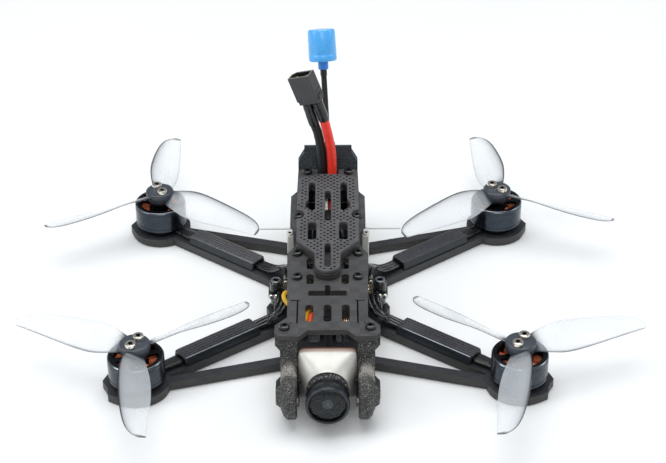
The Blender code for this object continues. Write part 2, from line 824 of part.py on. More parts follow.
for corner, (sx, sy, sense, blade, screws) in CORNERS.items():
    axis = empty("motor_axis_" + corner, (sx * MOTOR_X, sy * MOTOR_Y, 0.0))
    motor_piece("motor_base_" + corner, base_mesh, GUNMETAL, axis)
    motor_piece("stator_" + corner, stator_mesh, COPPER, axis)
    motor_piece("bell_" + corner, bell_mesh, GUNMETAL, axis, screws)
    propeller_mesh = baked(build_propeller("blades_" + corner, sense, screws - blade))
    motor_piece("propeller_" + corner, propeller_mesh, SMOKE, axis, blade)
    for tag, side in (("a", 1), ("b", -1)):
        place_at = (side * SCREW_PITCH_R, 0.0, HUB_Z[1] + GAP)
        motor_piece("prop_screw_%s_%s" % (tag, corner), screw_mesh, STEEL, axis, screws, place_at)


# ---------------------------------------------------------------- camera and its mounts
def side_profile(name, outline, low, high):
    """An outline in the (Y, Z) plane, extruded along X from low to high."""
    swap = Matrix(((0, 0, 1, 0), (1, 0, 0, 0), (0, 1, 0, 0), (0, 0, 0, 1)))
    return prism(name, outline, low, high, matrix=swap)


def lateral(name, radius, low, high, y, z, segments=16):
    """A cylinder along X at (y, z)."""
    return cylinder(name, radius, low, high, segments, matrix=at(0, y, z) @ sideways)


def front_profile(name, outline, low, high, side=1):
    """An outline in the (X, Z) plane, mirrored for side -1, extruded along Y."""
    return prism(name, [(side * x, z) for x, z in outline], -high, -low, matrix=forward)


forward = Matrix.Rotation(math.radians(90), 4, "X")
quarter = {side: Matrix.Rotation(math.radians(90 * side), 4, "Y") for side in (1, -1)}
pivot_y, pivot_z = CAMERA_PIVOT
upright_side = [(-49.4, 3.3), (-49.4, 24.7), (-57.0, 24.7), (-57.6, 15.0), (-57.0, 3.3)]
shoulder_front = [(12.0, 24.7), (16.9, 24.7), (16.9, 22.9), (15.2, 20.6), (12.0, 20.6)]
bridge_front = [(9.9, 3.4), (15.2, 3.4), (15.2, 13.6), (14.8, 14.9), (14.1, 16.2), (13.0, NOSE_TOP)]
bridge_front += [(11.5, NOSE_TOP), (10.7, 16.2), (10.1, 14.9), (9.9, 13.6)]
disc = [(0.0, 9.9), (6.8, 9.9), (NOSE_R, 10.4), (NOSE_R, 13.0), (6.2, 14.2), (4.1, 15.0)]
disc += [(3.0, 15.3), (0.0, 15.3)]
for side, sx in (("left", 1), ("right", -1)):
    low, high = sorted((sx * MOUNT_X[0], sx * MOUNT_X[1]))
    mount = side_profile("camera_mount_" + side, upright_side, low, high)
    nose_at = at(0, *NOSE) @ quarter[sx]
    tools = [
        front_profile("mount_shoulder_" + side, shoulder_front, -56.5, -50.0, sx),
        front_profile("mount_bridge_" + side, bridge_front, NOSE[0] + 0.8, -50.2, sx),
        turned("mount_nose_" + side, disc, 28, nose_at),
        cylinder("mount_boss_" + side, 3.9, 14.7, 16.6, 8, 2.6, nose_at),
    ]
    boolean(mount, tools, "UNION")
    low, high = sorted((sx * 9.0, sx * 16.0))
    bore = lateral("pivot_bore_" + side, 1.25, low, high, pivot_y, pivot_z, 16)
    low, high = sorted((sx * 13.4, sx * 18.0))
    sink = lateral("pivot_sink_" + side, 2.2, low, high, pivot_y, pivot_z, 16)
    boolean(mount, [bore, sink], "DIFFERENCE")
    place(mount, TPU, 35)

tilt = empty("camera_tilt_axis", (0.0, pivot_y, pivot_z))
tilt.rotation_euler.x = CAMERA_TILT


def superellipse(half, power, y, count=24):
    """A ring in the plane at y, square for a high power and round for two."""
    ring = []
    for k in range(count):
        a = 2 * math.pi * (k + 0.5) / count
        c, s = math.cos(a), math.sin(a)
        x = math.copysign(abs(c) ** (2 / power), c) * half
        z = math.copysign(abs(s) ** (2 / power), s) * half
        ring.append(Vector((x, y, z)) * MM)
    return ring


def build_housing():
    """A square housing that tapers to a round lens seat; the pivot is at the origin."""
    bm = bmesh.new()
    stations = [(CAMERA_HALF, 14, 5.6), (CAMERA_HALF, 14, 2.6), (8.6, 6, 0.6), (7.7, 3.2, -2.4)]
    stations.append((7.2, 2, -5.2))
    rings = [[bm.verts.new(p) for p in superellipse(*s)] for s in stations]
    for a, b in zip(rings, rings[1:]):
        for i in range(len(a)):
            j = (i + 1) % len(a)
            bm.faces.new((a[i], a[j], b[j], b[i]))
    bm.faces.new(rings[0])
    bm.faces.new(rings[-1])
    housing = from_bmesh("camera_housing", bm)
    taps = []
    for sx in (-1, 1):
        low, high = sorted((sx * 7.2, sx * 10.0))
        tap = lateral("side_tap_%d" % sx, 1.1, low, high, 0.0, 0.0, 16)
        taps.append(hang(tap, tilt))
    return boolean(housing, taps, "DIFFERENCE")


place(hang(build_housing(), tilt), CHAMPAGNE, 40)
barrel_profile = [
    (0.0, 12.5),
    (6.1, 12.5),
    (6.1, 14.2),
    (6.75, 14.2),
    (LENS_R, 13.8),
    (LENS_R, 12.0),
    (6.5, 9.6),
    (6.5, 8.0),
    (6.8, 7.8),
    (6.8, 5.5),
    (0.0, 5.5),
]
lens_barrel = turned("lens_barrel", barrel_profile, 24, forward)
place(hang(lens_barrel, tilt), BARREL, 30)
dome = []
for k in range(5):
    a = math.radians(90 - 90 * k / 4)
    dome.append((5.8 * math.cos(a), 13.1 + 1.5 * math.sin(a)))
lens_glass = turned("lens_glass", dome + [(5.8, 12.8), (0.0, 12.8)], 20, forward)
place(hang(lens_glass, tilt), GLASS, 40)
for side, sx in (("left", 1), ("right", -1)):
    low, high = sorted((sx * 13.7, sx * 15.0))
    head = lateral("camera_screw_" + side, 1.85, low, high, 0.0, 0.0, 16)
    low, high = sorted((sx * 7.5, sx * 13.9))
    shank = lateral("camera_shank_" + side, 0.8, low, high, 0.0, 0.0, 12)
    boolean(head, [shank], "UNION")
    shank.parent = tilt
    place(hang(head, tilt), STEEL, 30)

# ---------------------------------------------------------------- tail mount and antenna
wall = [(45.0, 3.3), (45.0, 28.2), (48.5, 36.9), (51.4, 35.8), (48.2, 27.6), (48.2, 3.3)]
tail_mount = side_profile("tail_mount", wall, -TAIL_X, TAIL_X)
upper_corner = [(8.7, 45.0), (8.7, 34.6), (11.5, 30.53), (13.0, 30.53), (13.0, 45.0)]
sloped = [
    front_profile("tail_slope_%d" % sx, upper_corner, 40.0, 56.0, sx) for sx in (1, -1)
]
boolean(tail_mount, sloped, "DIFFERENCE")
joined = []
for sx in (-1, 1):
    low, high = sorted((sx * 4.2, sx * 10.6))
    lug = prism("tail_lug_%d" % sx, slot(low, high, 38.9, 46.0, 2.4), 3.3, 7.5)
    joined.append(lug)
    low, high = sorted((sx * 4.2, sx * 5.0))
    rib_side = [(44.9, 20.0), (44.9, 29.0), (46.6, 34.0), (47.5, 20.0)]
    joined.append(side_profile("tail_rib_%d" % sx, rib_side, low, high))
antenna_turn = Matrix.Rotation(-ANTENNA_LEAN, 4, "X") @ Matrix.Rotation(-ANTENNA_SIDE, 4, "Y")
antenna_pose = Matrix.Translation(ANTENNA_BASE * MM) @ antenna_turn
joined.append(cylinder("antenna_boss", 2.7, -3.0, 6.4, 16, matrix=antenna_pose))
boolean(tail_mount, joined, "UNION")
cuts = [cylinder("antenna_bore", 1.4, -1.0, 12.0, 12, matrix=antenna_pose)]
for sx in (-1, 1):
    where = at(sx * 7.5, 42.0)
    cuts.append(cylinder("lug_bore_%d" % sx, STANDOFF_R + 0.3, 2.0, 9.0, 12, matrix=where))
boolean(tail_mount, cuts, "DIFFERENCE")
place(tail_mount, TPU, 35)

antenna = empty("antenna_axis", ANTENNA_BASE)
antenna.rotation_euler = antenna_turn.to_euler()
antenna_tube = cylinder("antenna_tube", ANTENNA_TUBE_R, -0.6, 36.3, 12)
place(hang(antenna_tube, antenna), COAX, 40)
cap_profile = [
    (0.0, 48.1),
    (4.5, 48.1),
    (4.95, 47.6),
    (5.15, 37.1),
    (4.6, 36.5),
    (1.85, 36.4),
    (1.85, 33.5),
    (1.35, 33.5),
    (1.35, 36.6),
    (0.0, 36.6),
]
antenna_cap = turned("antenna_cap", cap_profile, 20)
place(hang(antenna_cap, antenna), BLUE, 30)

# ---------------------------------------------------------------- battery leads and connector
lead_routes = {
    "battery_lead_red": [
        (4.0, 3.5, 11.9),
        (4.05, 8.4, 13.6),
        (3.9, 11.9, 18.8),
        (3.4, 17.0, 22.9),
        (2.6, 25.0, 23.3),
        (1.95, 35.0, 23.2),
        (1.7, 39.6, 24.2),
        (1.5, 41.2, 27.4),
        (1.5, 41.5, 33.0),
        (1.25, 41.4, 38.9),
        (0.25, 41.3, 45.1),
        (-1.35, 41.2, 52.2),
        (-3.68, 41.03, 59.34),
    ],
    "battery_lead_black": [
        (-4.0, 3.5, 11.9),
        (-4.05, 8.4, 13.6),
        (-4.0, 11.9, 18.8),
        (-3.8, 17.0, 22.9),
        (-3.1, 25.0, 23.3),
        (-2.2, 35.0, 23.2),
        (-2.1, 39.8, 24.2),
        (-2.05, 41.6, 27.4),
        (-2.1, 42.3, 33.0),
        (-2.5, 42.6, 39.0),
        (-3.4, 42.7, 45.2),
        (-5.2, 42.5, 50.8),
        (-7.23, 42.76, 57.9),
    ],
}
for name, knots in lead_routes.items():
    lead = tube(name, smooth_path(knots, 4.0), LEAD_R)
    place(lead, RED_LEAD if name.endswith("red") else BLACK_LEAD)

connector_at = Matrix.Translation(Vector(CONNECTOR_AT) * MM)
connector_at = connector_at @ Matrix.Rotation(CONNECTOR_LEAN, 4, "Y")
connector_at = connector_at @ Matrix.Rotation(CONNECTOR_TURN, 4, "Z")
connector_at = connector_at @ Matrix.Rotation(CONNECTOR_NOD, 4, "X")
shell_outline = [(-4.35, 0.9), (-4.35, -2.45), (4.35, -2.45), (4.35, 2.45), (-2.8, 2.45)]
battery_connector = prism("battery_connector", shell_outline, 0.0, 9.8)
collar = box("connector_collar", (-4.1, -2.1, -1.4), (4.1, 2.1, 0.5))
clip = box("connector_clip", (-4.8, -1.4, -0.2), (4.8, 1.4, 1.2))
boolean(battery_connector, [collar, clip], "UNION")
inner = [(-3.7, 0.6), (-3.7, -1.8), (3.7, -1.8), (3.7, 1.8), (-2.5, 1.8)]
mouth = prism("connector_mouth", inner, 2.6, 12.0)
boolean(battery_connector, [mouth], "DIFFERENCE")
seat = empty("connector_seat", (0.0, 0.0, 0.0))
seat.matrix_world = connector_at
for tool in (collar, clip, mouth):
    tool.parent = seat
place(hang(battery_connector, seat), NYLON, 30)
for tag, x in (("positive", 2.1), ("negative", -2.1)):
    pin = cylinder("connector_pin_" + tag, 0.95, 2.9, 8.6, 12, matrix=at(x, 0))
    place(hang(pin, seat), GOLD, 30)

# ---------------------------------------------------------------- origin
CORD_PIECES = ("battery_lead", "battery_connector", "connector_pin")
bpy.context.view_layer.update()
graph = bpy.context.evaluated_depsgraph_get()
low, high = Vector((1e9, 1e9, 1e9)), Vector((-1e9, -1e9, -1e9))
for obj in parts.objects:
    if obj.type == "EMPTY" or obj.name.startswith(CORD_PIECES):
        continue
    solid = obj.evaluated_get(graph)
    mesh = solid.to_mesh()
    for vertex in mesh.vertices:
        spot = solid.matrix_world @ vertex.co
        low = Vector(map(min, low, spot))
        high = Vector(map(max, high, spot))
    solid.to_mesh_clear()
# The ground is at the lowest point and the origin under the middle of the outline.
centring = Vector((-(low.x + high.x) / 2, -(low.y + high.y) / 2, -low.z))
for obj in (*parts.objects, *cutters.objects):
    if obj.parent is None:
        obj.location += centring
bpy.context.view_layer.update()
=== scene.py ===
"""The looks of the 3.5 inch racing quadcopter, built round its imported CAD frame.

Lengths are in millimetres in the machine's own axes: +X is its left, its nose points
along -Y and +Z is up, with the middle of the four motors over the origin.
"""

import json
import random
from math import copysign, cos, hypot, pi, radians, sin, tan

import bmesh
import bpy
from mathutils import Matrix, Vector, geometry
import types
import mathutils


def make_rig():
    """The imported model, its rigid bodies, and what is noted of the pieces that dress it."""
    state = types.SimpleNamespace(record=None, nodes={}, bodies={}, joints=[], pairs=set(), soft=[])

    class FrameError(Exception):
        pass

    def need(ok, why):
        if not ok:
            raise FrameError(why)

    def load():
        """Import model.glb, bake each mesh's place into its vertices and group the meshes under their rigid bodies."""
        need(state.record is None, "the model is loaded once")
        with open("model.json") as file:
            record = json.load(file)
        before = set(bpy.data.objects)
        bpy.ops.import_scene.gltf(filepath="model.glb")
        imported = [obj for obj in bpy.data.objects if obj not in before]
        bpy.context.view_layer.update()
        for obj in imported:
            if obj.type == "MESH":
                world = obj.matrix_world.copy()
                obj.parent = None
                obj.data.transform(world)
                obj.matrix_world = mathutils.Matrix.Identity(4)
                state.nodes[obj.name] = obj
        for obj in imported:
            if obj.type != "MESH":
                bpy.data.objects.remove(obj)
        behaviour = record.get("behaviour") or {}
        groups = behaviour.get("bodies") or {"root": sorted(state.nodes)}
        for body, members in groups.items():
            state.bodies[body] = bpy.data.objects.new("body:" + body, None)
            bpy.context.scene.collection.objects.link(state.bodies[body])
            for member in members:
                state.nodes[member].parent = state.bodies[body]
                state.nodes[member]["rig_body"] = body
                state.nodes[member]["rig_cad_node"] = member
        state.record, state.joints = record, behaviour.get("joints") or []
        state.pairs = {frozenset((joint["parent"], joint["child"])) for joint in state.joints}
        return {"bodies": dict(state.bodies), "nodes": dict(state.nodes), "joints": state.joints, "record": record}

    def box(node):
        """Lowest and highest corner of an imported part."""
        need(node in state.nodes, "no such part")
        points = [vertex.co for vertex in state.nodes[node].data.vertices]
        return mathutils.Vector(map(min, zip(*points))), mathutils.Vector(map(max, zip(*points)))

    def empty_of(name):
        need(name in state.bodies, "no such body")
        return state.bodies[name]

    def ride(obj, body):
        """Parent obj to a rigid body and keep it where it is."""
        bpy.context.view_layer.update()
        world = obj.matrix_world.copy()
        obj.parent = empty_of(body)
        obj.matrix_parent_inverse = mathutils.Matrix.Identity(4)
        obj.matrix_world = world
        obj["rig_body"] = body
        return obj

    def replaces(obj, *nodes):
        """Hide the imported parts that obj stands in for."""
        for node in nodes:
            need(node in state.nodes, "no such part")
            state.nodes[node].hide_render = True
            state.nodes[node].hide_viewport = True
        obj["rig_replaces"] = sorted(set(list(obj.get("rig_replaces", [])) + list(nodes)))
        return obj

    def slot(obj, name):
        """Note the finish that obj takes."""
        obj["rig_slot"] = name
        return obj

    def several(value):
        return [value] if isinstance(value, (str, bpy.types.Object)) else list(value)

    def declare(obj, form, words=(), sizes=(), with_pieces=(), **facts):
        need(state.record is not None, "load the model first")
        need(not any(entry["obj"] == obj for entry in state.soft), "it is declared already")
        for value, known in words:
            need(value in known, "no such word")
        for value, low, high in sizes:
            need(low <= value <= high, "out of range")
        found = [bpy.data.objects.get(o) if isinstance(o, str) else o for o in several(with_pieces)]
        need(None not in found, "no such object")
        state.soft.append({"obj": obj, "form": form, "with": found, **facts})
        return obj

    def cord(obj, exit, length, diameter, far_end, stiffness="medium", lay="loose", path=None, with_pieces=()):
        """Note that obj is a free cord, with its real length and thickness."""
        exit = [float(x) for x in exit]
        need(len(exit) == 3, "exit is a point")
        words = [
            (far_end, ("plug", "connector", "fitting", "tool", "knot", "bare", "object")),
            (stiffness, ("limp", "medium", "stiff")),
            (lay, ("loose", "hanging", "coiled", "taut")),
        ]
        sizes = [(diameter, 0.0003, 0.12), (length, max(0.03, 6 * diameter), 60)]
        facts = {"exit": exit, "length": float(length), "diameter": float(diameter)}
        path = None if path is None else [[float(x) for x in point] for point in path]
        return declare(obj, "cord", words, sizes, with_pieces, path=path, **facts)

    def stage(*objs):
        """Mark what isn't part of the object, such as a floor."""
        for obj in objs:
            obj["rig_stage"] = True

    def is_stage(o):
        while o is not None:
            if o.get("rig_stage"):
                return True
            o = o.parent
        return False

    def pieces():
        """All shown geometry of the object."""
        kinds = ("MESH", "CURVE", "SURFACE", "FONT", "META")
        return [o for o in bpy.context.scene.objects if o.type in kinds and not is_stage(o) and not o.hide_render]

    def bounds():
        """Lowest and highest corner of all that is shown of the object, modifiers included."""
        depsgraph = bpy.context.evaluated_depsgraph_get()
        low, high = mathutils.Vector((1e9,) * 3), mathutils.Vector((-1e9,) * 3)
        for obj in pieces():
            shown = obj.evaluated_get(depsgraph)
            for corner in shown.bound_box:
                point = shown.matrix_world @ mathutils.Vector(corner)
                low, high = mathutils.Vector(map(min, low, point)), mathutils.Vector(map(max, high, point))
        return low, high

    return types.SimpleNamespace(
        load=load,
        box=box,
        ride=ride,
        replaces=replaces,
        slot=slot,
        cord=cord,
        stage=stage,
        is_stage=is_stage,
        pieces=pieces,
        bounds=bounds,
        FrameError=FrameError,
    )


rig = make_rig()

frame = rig.load()
cad_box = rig.bounds()

MM = 0.001
ROTOR_JOINTS = [j for j in frame["joints"] if j["name"].startswith("rotor")]
CENTRE = sum((Vector(j["pos_m"]) for j in ROTOR_JOINTS), Vector()) / 4
CENTRE.z = 0
WORLD = Matrix.Translation(CENTRE)
NODES = frame["nodes"]
random.seed(7)
link = bpy.context.scene.collection.objects.link

MOTOR_X, MOTOR_Y = 63, 48.5
FRONT_TOP = 27
REAR_TOP = 29.3
PAD_Z = (29.6, 30.8)
STACK_Y, STACK_HOLE = -6.25, 18.03
BOARD_Z = (8.6, 9.8)
# Corner name: (side of X, side of Y, turning sense seen from above, first blade, screws)
CORNERS = {
	"fr": (-1, -1, -1, 34.2, 65),
	"fl": (1, -1, 1, 21, 60),
	"rr": (-1, 1, 1, 89.6, -62),
	"rl": (1, 1, -1, 93.9, -46),
}


def at(x, y, z=0):
	return Matrix.Translation(Vector((x, y, z)) * MM)


def turn(degrees, axis="Z"):
	return Matrix.Rotation(radians(degrees), 4, axis)


def on_circle(radius, degrees, z=0):
	a = radians(degrees)
	return Vector((radius * cos(a), radius * sin(a), z))


# ---- camera
eye = bpy.data.objects.new("camera", bpy.data.cameras.new("camera"))
eye.data.sensor_width = 36
eye.data.lens = 93.45
eye.data.clip_start = 0.01
link(eye)
down, yaw, roll = (radians(a) for a in (32.221, -0.175, -0.382))
look = Vector((sin(yaw) * cos(down), cos(yaw) * cos(down), -sin(down)))
level = Vector((cos(yaw), -sin(yaw), 0))
rise = level.cross(look)
side = level * cos(roll) + rise * sin(roll)
rise = rise * cos(roll) - level * sin(roll)
eye.matrix_world = (
	WORLD @ at(3.368, -506.019, 349.234) @ Matrix((side, rise, -look)).transposed().to_4x4()
)
bpy.context.scene.camera = eye
bpy.context.scene.view_settings.view_transform = "Standard"


# ---- materials
def srgb(*values):
	"""Linear colour from 0-255 display values."""
	shares = [v / 255 for v in values]
	return tuple(s / 12.92 if s < 0.04045 else ((s + 0.055) / 1.055) ** 2.4 for s in shares)


class Look:
	"""A node material on one Principled shader, with positions in millimetres."""

	def __init__(self, name, **sockets):
		self.mat = bpy.data.materials.new(name)
		self.mat.use_nodes = True
		self.tree = self.mat.node_tree
		self.shader = self.tree.nodes["Principled BSDF"]
		for socket, value in sockets.items():
			self.shader.inputs[socket.replace("_", " ")].default_value = value
		coordinates = self.node("TexCoord").outputs["Object"]
		scaled = self.node("VectorMath", {0: coordinates, 3: 1 / MM}, operation="SCALE")
		self.here = scaled.outputs[0]

	def node(self, kind, inputs=None, **settings):
		made = self.tree.nodes.new("ShaderNode" + kind)
		for key, value in settings.items():
			setattr(made, key, value)
		for key, value in (inputs or {}).items():
			self.feed(made.inputs[key], value)
		return made

	def feed(self, socket, value):
		if isinstance(value, bpy.types.NodeSocket):
			self.tree.links.new(value, socket)
		elif socket.type == "RGBA" and len(value) == 3:
			socket.default_value = (*value, 1)
		else:
			socket.default_value = value

	def math(self, operation, a, b=0, c=0):
		return self.node("Math", {0: a, 1: b, 2: c}, operation=operation).outputs[0]

	def stretched(self, scale):
		product = self.node("VectorMath", {0: self.here, 1: scale}, operation="MULTIPLY")
		return product.outputs[0]

	def noise(self, scale, detail=2, stretch=None):
		vector = self.stretched(stretch) if stretch else self.here
		made = self.node("TexNoise", {"Vector": vector, "Scale": scale, "Detail": detail})
		return made.outputs[0]

	def blend(self, share, a, b, kind="MIX"):
		made = self.node("Mix", {0: share, 6: a, 7: b}, data_type="RGBA", blend_type=kind)
		return made.outputs[2]

	def spread(self, value, low, high, to_low=0, to_high=1):
		inputs = {0: value, 1: low, 2: high, 3: to_low, 4: to_high}
		return self.node("MapRange", inputs).outputs[0]

	def axes(self, vector=None):
		return self.node("SeparateXYZ", {0: vector or self.here}).outputs

	def shade(self, color, value, low, high):
		"""The colour times a grey that runs from low to high with the value, from 0.3 to 0.7."""
		grey = self.spread(value, 0.3, 0.7, low, high)
		mixed = self.node("CombineColor", {0: grey, 1: grey, 2: grey}).outputs[0]
		return self.blend(1, color, mixed, "MULTIPLY")

	def color(self, value):
		self.feed(self.shader.inputs["Base Color"], value)

	def rough(self, value, low, high):
		self.feed(self.shader.inputs["Roughness"], self.spread(value, 0.3, 0.7, low, high))

	def relief(self, height, depth):
		"""Bumps the surface by depth millimetres times the height."""
		bump = self.node("Bump", {"Height": height, "Distance": depth * MM})
		self.feed(self.shader.inputs["Normal"], bump.outputs[0])


def plain(name, rgb, rough, cloud=0.15, grain=1.5, depth=0.02, stretch=None, **sockets):
	"""A finish with clouds of tone, fine grain, uneven gloss and a little relief."""
	made = Look(name, **sockets)
	base = made.shade(srgb(*rgb), made.noise(0.25, 3), 1 - cloud, 1 + cloud)
	fine = made.noise(grain, 3, stretch)
	made.color(made.shade(base, fine, 1 - cloud * 0.6, 1 + cloud * 0.6))
	made.rough(fine, rough * 0.85, min(1, rough * 1.2))
	made.relief(fine, depth)
	return made.mat


def carbon(name, top, side_rgb, cell=3.3):
	"""Woven carbon: a mosaic of tows on the faces and the plies' layers on the cut edges."""
	made = Look(name, Specular_IOR_Level=0.35)
	x, y, _ = made.axes()
	column = made.math("FLOOR", made.math("DIVIDE", x, cell))
	row = made.math("FLOOR", made.math("DIVIDE", y, cell))
	spot = made.node("CombineXYZ", {0: column, 1: row}).outputs[0]
	tone = made.node("TexWhiteNoise", {0: spot}).outputs[0]
	over = made.math("FLOORED_MODULO", made.math("ADD", column, row), 2)
	along_x = made.noise(1, 2, (0.3, 6, 1))
	along_y = made.noise(1, 2, (6, 0.3, 1))
	fibres = made.node("Mix", {0: over, 2: along_x, 3: along_y}).outputs[0]
	weave = made.math("ADD", made.math("MULTIPLY", over, 0.14), made.math("MULTIPLY", tone, 0.16))
	weave = made.math("ADD", weave, made.math("MULTIPLY", fibres, 0.5))
	face = made.shade(srgb(*top), made.math("ADD", weave, 0.1), 0.8, 1.25)
	face = made.shade(face, made.noise(0.12, 2), 0.88, 1.12)
	plies = made.noise(1, 3, (0.25, 0.25, 5.5))
	edge = made.shade(srgb(*side_rgb), plies, 0.62, 1.3)
	normal = made.axes(made.node("NewGeometry").outputs["Normal"])[2]
	is_side = made.spread(made.math("ABSOLUTE", normal), 0.75, 0.45)
	made.color(made.blend(is_side, face, edge))
	made.rough(fibres, 0.4, 0.6)
	made.relief(made.node("Mix", {0: is_side, 2: weave, 3: plies}).outputs[0], 0.05)
	return made.mat


def printed(name, rgb, light, highlight_spot):
	"""Printed plastic: layer lines, dark pits, light specks, and a painted highlight: paler round the given highlight
	spot.
	"""
	made = Look(name, Specular_IOR_Level=0.3)
	specks = made.noise(2, 4)
	crumbs = made.noise(3.4, 2)
	base = made.shade(srgb(*rgb), specks, 0.45, 1.6)
	base = made.blend(made.spread(crumbs, 0.59, 0.68), base, srgb(*light))
	# Painted highlight: the light tone blends in over the specks near the given spot, where the bulge catches the light.
	flat = made.stretched((0, 1, 1))
	far = made.node("VectorMath", {0: flat, 1: (0, *highlight_spot)}, operation="DISTANCE").outputs["Value"]
	painted_highlight = made.math("MULTIPLY", made.spread(far, 5, 1.5), made.spread(specks, 0.36, 0.56))
	made.color(made.blend(painted_highlight, base, srgb(*light)))
	layers = made.node("TexWave", {"Vector": made.here, "Scale": 0.8}, bands_direction="Z")
	rise_fall = made.math("MULTIPLY", layers.outputs[1], 0.25)
	made.rough(crumbs, 0.7, 0.45)
	made.relief(made.math("ADD", specks, rise_fall), 0.22)
	return made.mat


def board(name, rgb, trace):
	"""A printed circuit: tracks, vias and a glossy solder mask."""
	made = Look(name, Coat_Weight=0.4, Coat_Roughness=0.2)
	tracks = made.node("TexBrick", {"Vector": made.here, "Scale": 0.9, "Mortar Size": 0.05})
	cells = made.node("TexVoronoi", {"Vector": made.here, "Scale": 0.9}, feature="F1")
	vias = made.spread(cells.outputs[0], 0.2, 0.14)
	base = made.blend(made.spread(tracks.outputs[1], 0, 1), srgb(*rgb), srgb(*trace))
	made.color(made.blend(vias, base, srgb(190, 160, 80)))
	made.rough(made.noise(1), 0.25, 0.4)
	made.relief(tracks.outputs[1], 0.03)
	return made.mat


def blade_look(name):
	"""Smoky clear plastic: thin in the blade, dark along its rims with painted shade, and solid at the hub."""
	made = Look(name, Specular_IOR_Level=0.6)
	rim = made.node("Attribute", attribute_name="edge").outputs["Fac"]
	root = made.node("Attribute", attribute_name="root").outputs["Fac"]
	cloud = made.noise(0.05, 1)
	clear = made.blend(cloud, srgb(236, 243, 250), srgb(246, 250, 253))
	# Grey, then near black, where edge is high: painted shade along the blade rims, which are also made less clear.
	smoky = made.blend(made.spread(rim, 0, 0.5), clear, srgb(158, 162, 168))
	smoky = made.blend(made.spread(rim, 0.45, 0.95), smoky, srgb(26, 29, 34))
	made.color(made.blend(root, smoky, srgb(58, 64, 74)))
	veil = made.math("ADD", made.spread(cloud, 0.3, 0.7, 0.25, 0.31), made.math("MULTIPLY", rim, 0.6))
	veil = made.math("MAXIMUM", veil, root)
	made.feed(made.shader.inputs["Alpha"], made.math("MINIMUM", veil, 1))
	made.rough(cloud, 0.1, 0.16)
	made.relief(made.noise(0.1, 1), 0.02)
	return made.mat


def metal(name, rgb, rough, stretch=(1, 1, 1), cloud=0.1, depth=0.006, metallic=1, **sockets):
	return plain(name, rgb, rough, cloud, 2.5, depth, stretch, Metallic=metallic, **sockets)


def speckled(name, rgb, light, scale, rough):
	"""Fine speckle of a second tone, as on a knurl or a potted surface."""
	made = Look(name)
	specks = made.noise(scale, 3)
	made.color(made.blend(made.spread(specks, 0.52, 0.68), srgb(*rgb), srgb(*light)))
	made.rough(specks, rough, rough * 0.7)
	made.relief(specks, 0.05)
	return made.mat


def glass(name):
	"""Coated front glass, clear enough to see the rings behind it."""
	made = Look(name, Coat_Weight=0.3, Coat_Roughness=0.02, Specular_IOR_Level=0.35)
	sheen = made.noise(0.12, 1)
	made.color(made.blend(sheen, srgb(2, 9, 13), srgb(4, 8, 12)))
	made.feed(made.shader.inputs["Alpha"], made.spread(sheen, 0.3, 0.7, 0.36, 0.44))
	made.rough(made.noise(0.6), 0.03, 0.06)
	return made.mat


def ringed(name):
	"""The rings behind the front glass, round the small pupil."""
	made = Look(name)
	x, _, z = made.axes()
	far = made.math("SQRT", made.math("ADD", made.math("POWER", x, 2), made.math("POWER", z, 2)))
	fine = made.math("MULTIPLY_ADD", made.math("SINE", made.math("MULTIPLY", far, 4.5)), 0.3, 0.5)
	tone = made.blend(made.spread(far, 0.9, 1.25), srgb(168, 156, 132), srgb(10, 32, 41))
	tone = made.blend(made.spread(far, 1.5, 1.9), srgb(104, 116, 124), tone)
	tone = made.blend(made.spread(far, 2, 2.2), tone, srgb(8, 25, 33))
	made.color(made.shade(tone, fine, 0.75, 1.3))
	made.rough(made.noise(1.5), 0.2, 0.35)
	made.relief(fine, 0.02)
	return made.mat


LAMINATE = carbon("top_plate_carbon", (70, 70, 71), (62, 61, 61))
# The top plates' carbon with a darker, bluer face: painted shade from the propellers over the bottom plate.
SHADED_FRAME_CARBON = carbon("frame_carbon_painted_shade", (50, 52, 56), (66, 65, 65), 3.6)
PAD_RUBBER = plain("pad_rubber", (84, 84, 87), 0.75, 0.2, 1.2, 0.04)
# A darker copy of the pad rubber for the pits' floors and walls: painted shade in the pits. It is also the camera
# cable's own matte black.
PIT_SHADE_AND_CABLE_RUBBER = plain("pad_pit_shade_and_cable_rubber", (30, 31, 33), 0.9, 0.2, 1.2, 0.04)
# The last pair is where the painted highlight sits: on the camera mounts' bulge; the tail's pair lies too far off to
# reach the part.
TPU = printed("printed_plastic", (58, 58, 59), (176, 173, 166), (-61.4, 15.4))
TAIL_TPU = printed("printed_tail", (44, 49, 53), (92, 98, 102), (0, 0))
FIBRE_GLASS = board("board_mask", (14, 22, 20), (28, 44, 40))
CHIP = plain("chip_epoxy", (24, 25, 28), 0.45, 0.2, 2, 0.02)
SOLDER = metal("solder", (215, 213, 208), 0.22, depth=0.05)
PAD_GOLD = metal("gilt_pads", (214, 158, 84), 0.3)
CREAM = plain("cream_case", (232, 231, 224), 0.35, 0.05, 0.8, 0.03, (1, 1, 0.2))
BELL = metal("anodised_bell", (54, 61, 70), 0.28, (0.3, 0.3, 4), 0.14, Coat_Weight=0.3)
BELL_DARK = metal("bell_top", (34, 37, 42), 0.34, (2, 2, 0.5), 0.15)
# Bright machined chamfers on the bells; on the wire covers, a painted highlight strip.
RIM_METAL_AND_HIGHLIGHT = metal("machined_rim_and_painted_highlight", (118, 124, 130), 0.2, (0.3, 0.3, 5))
MAGNET = metal("nickel_magnets", (60, 60, 60), 0.32)
STEEL = metal("screw_steel_polished", (232, 226, 216), 0.16, (1, 1, 3))
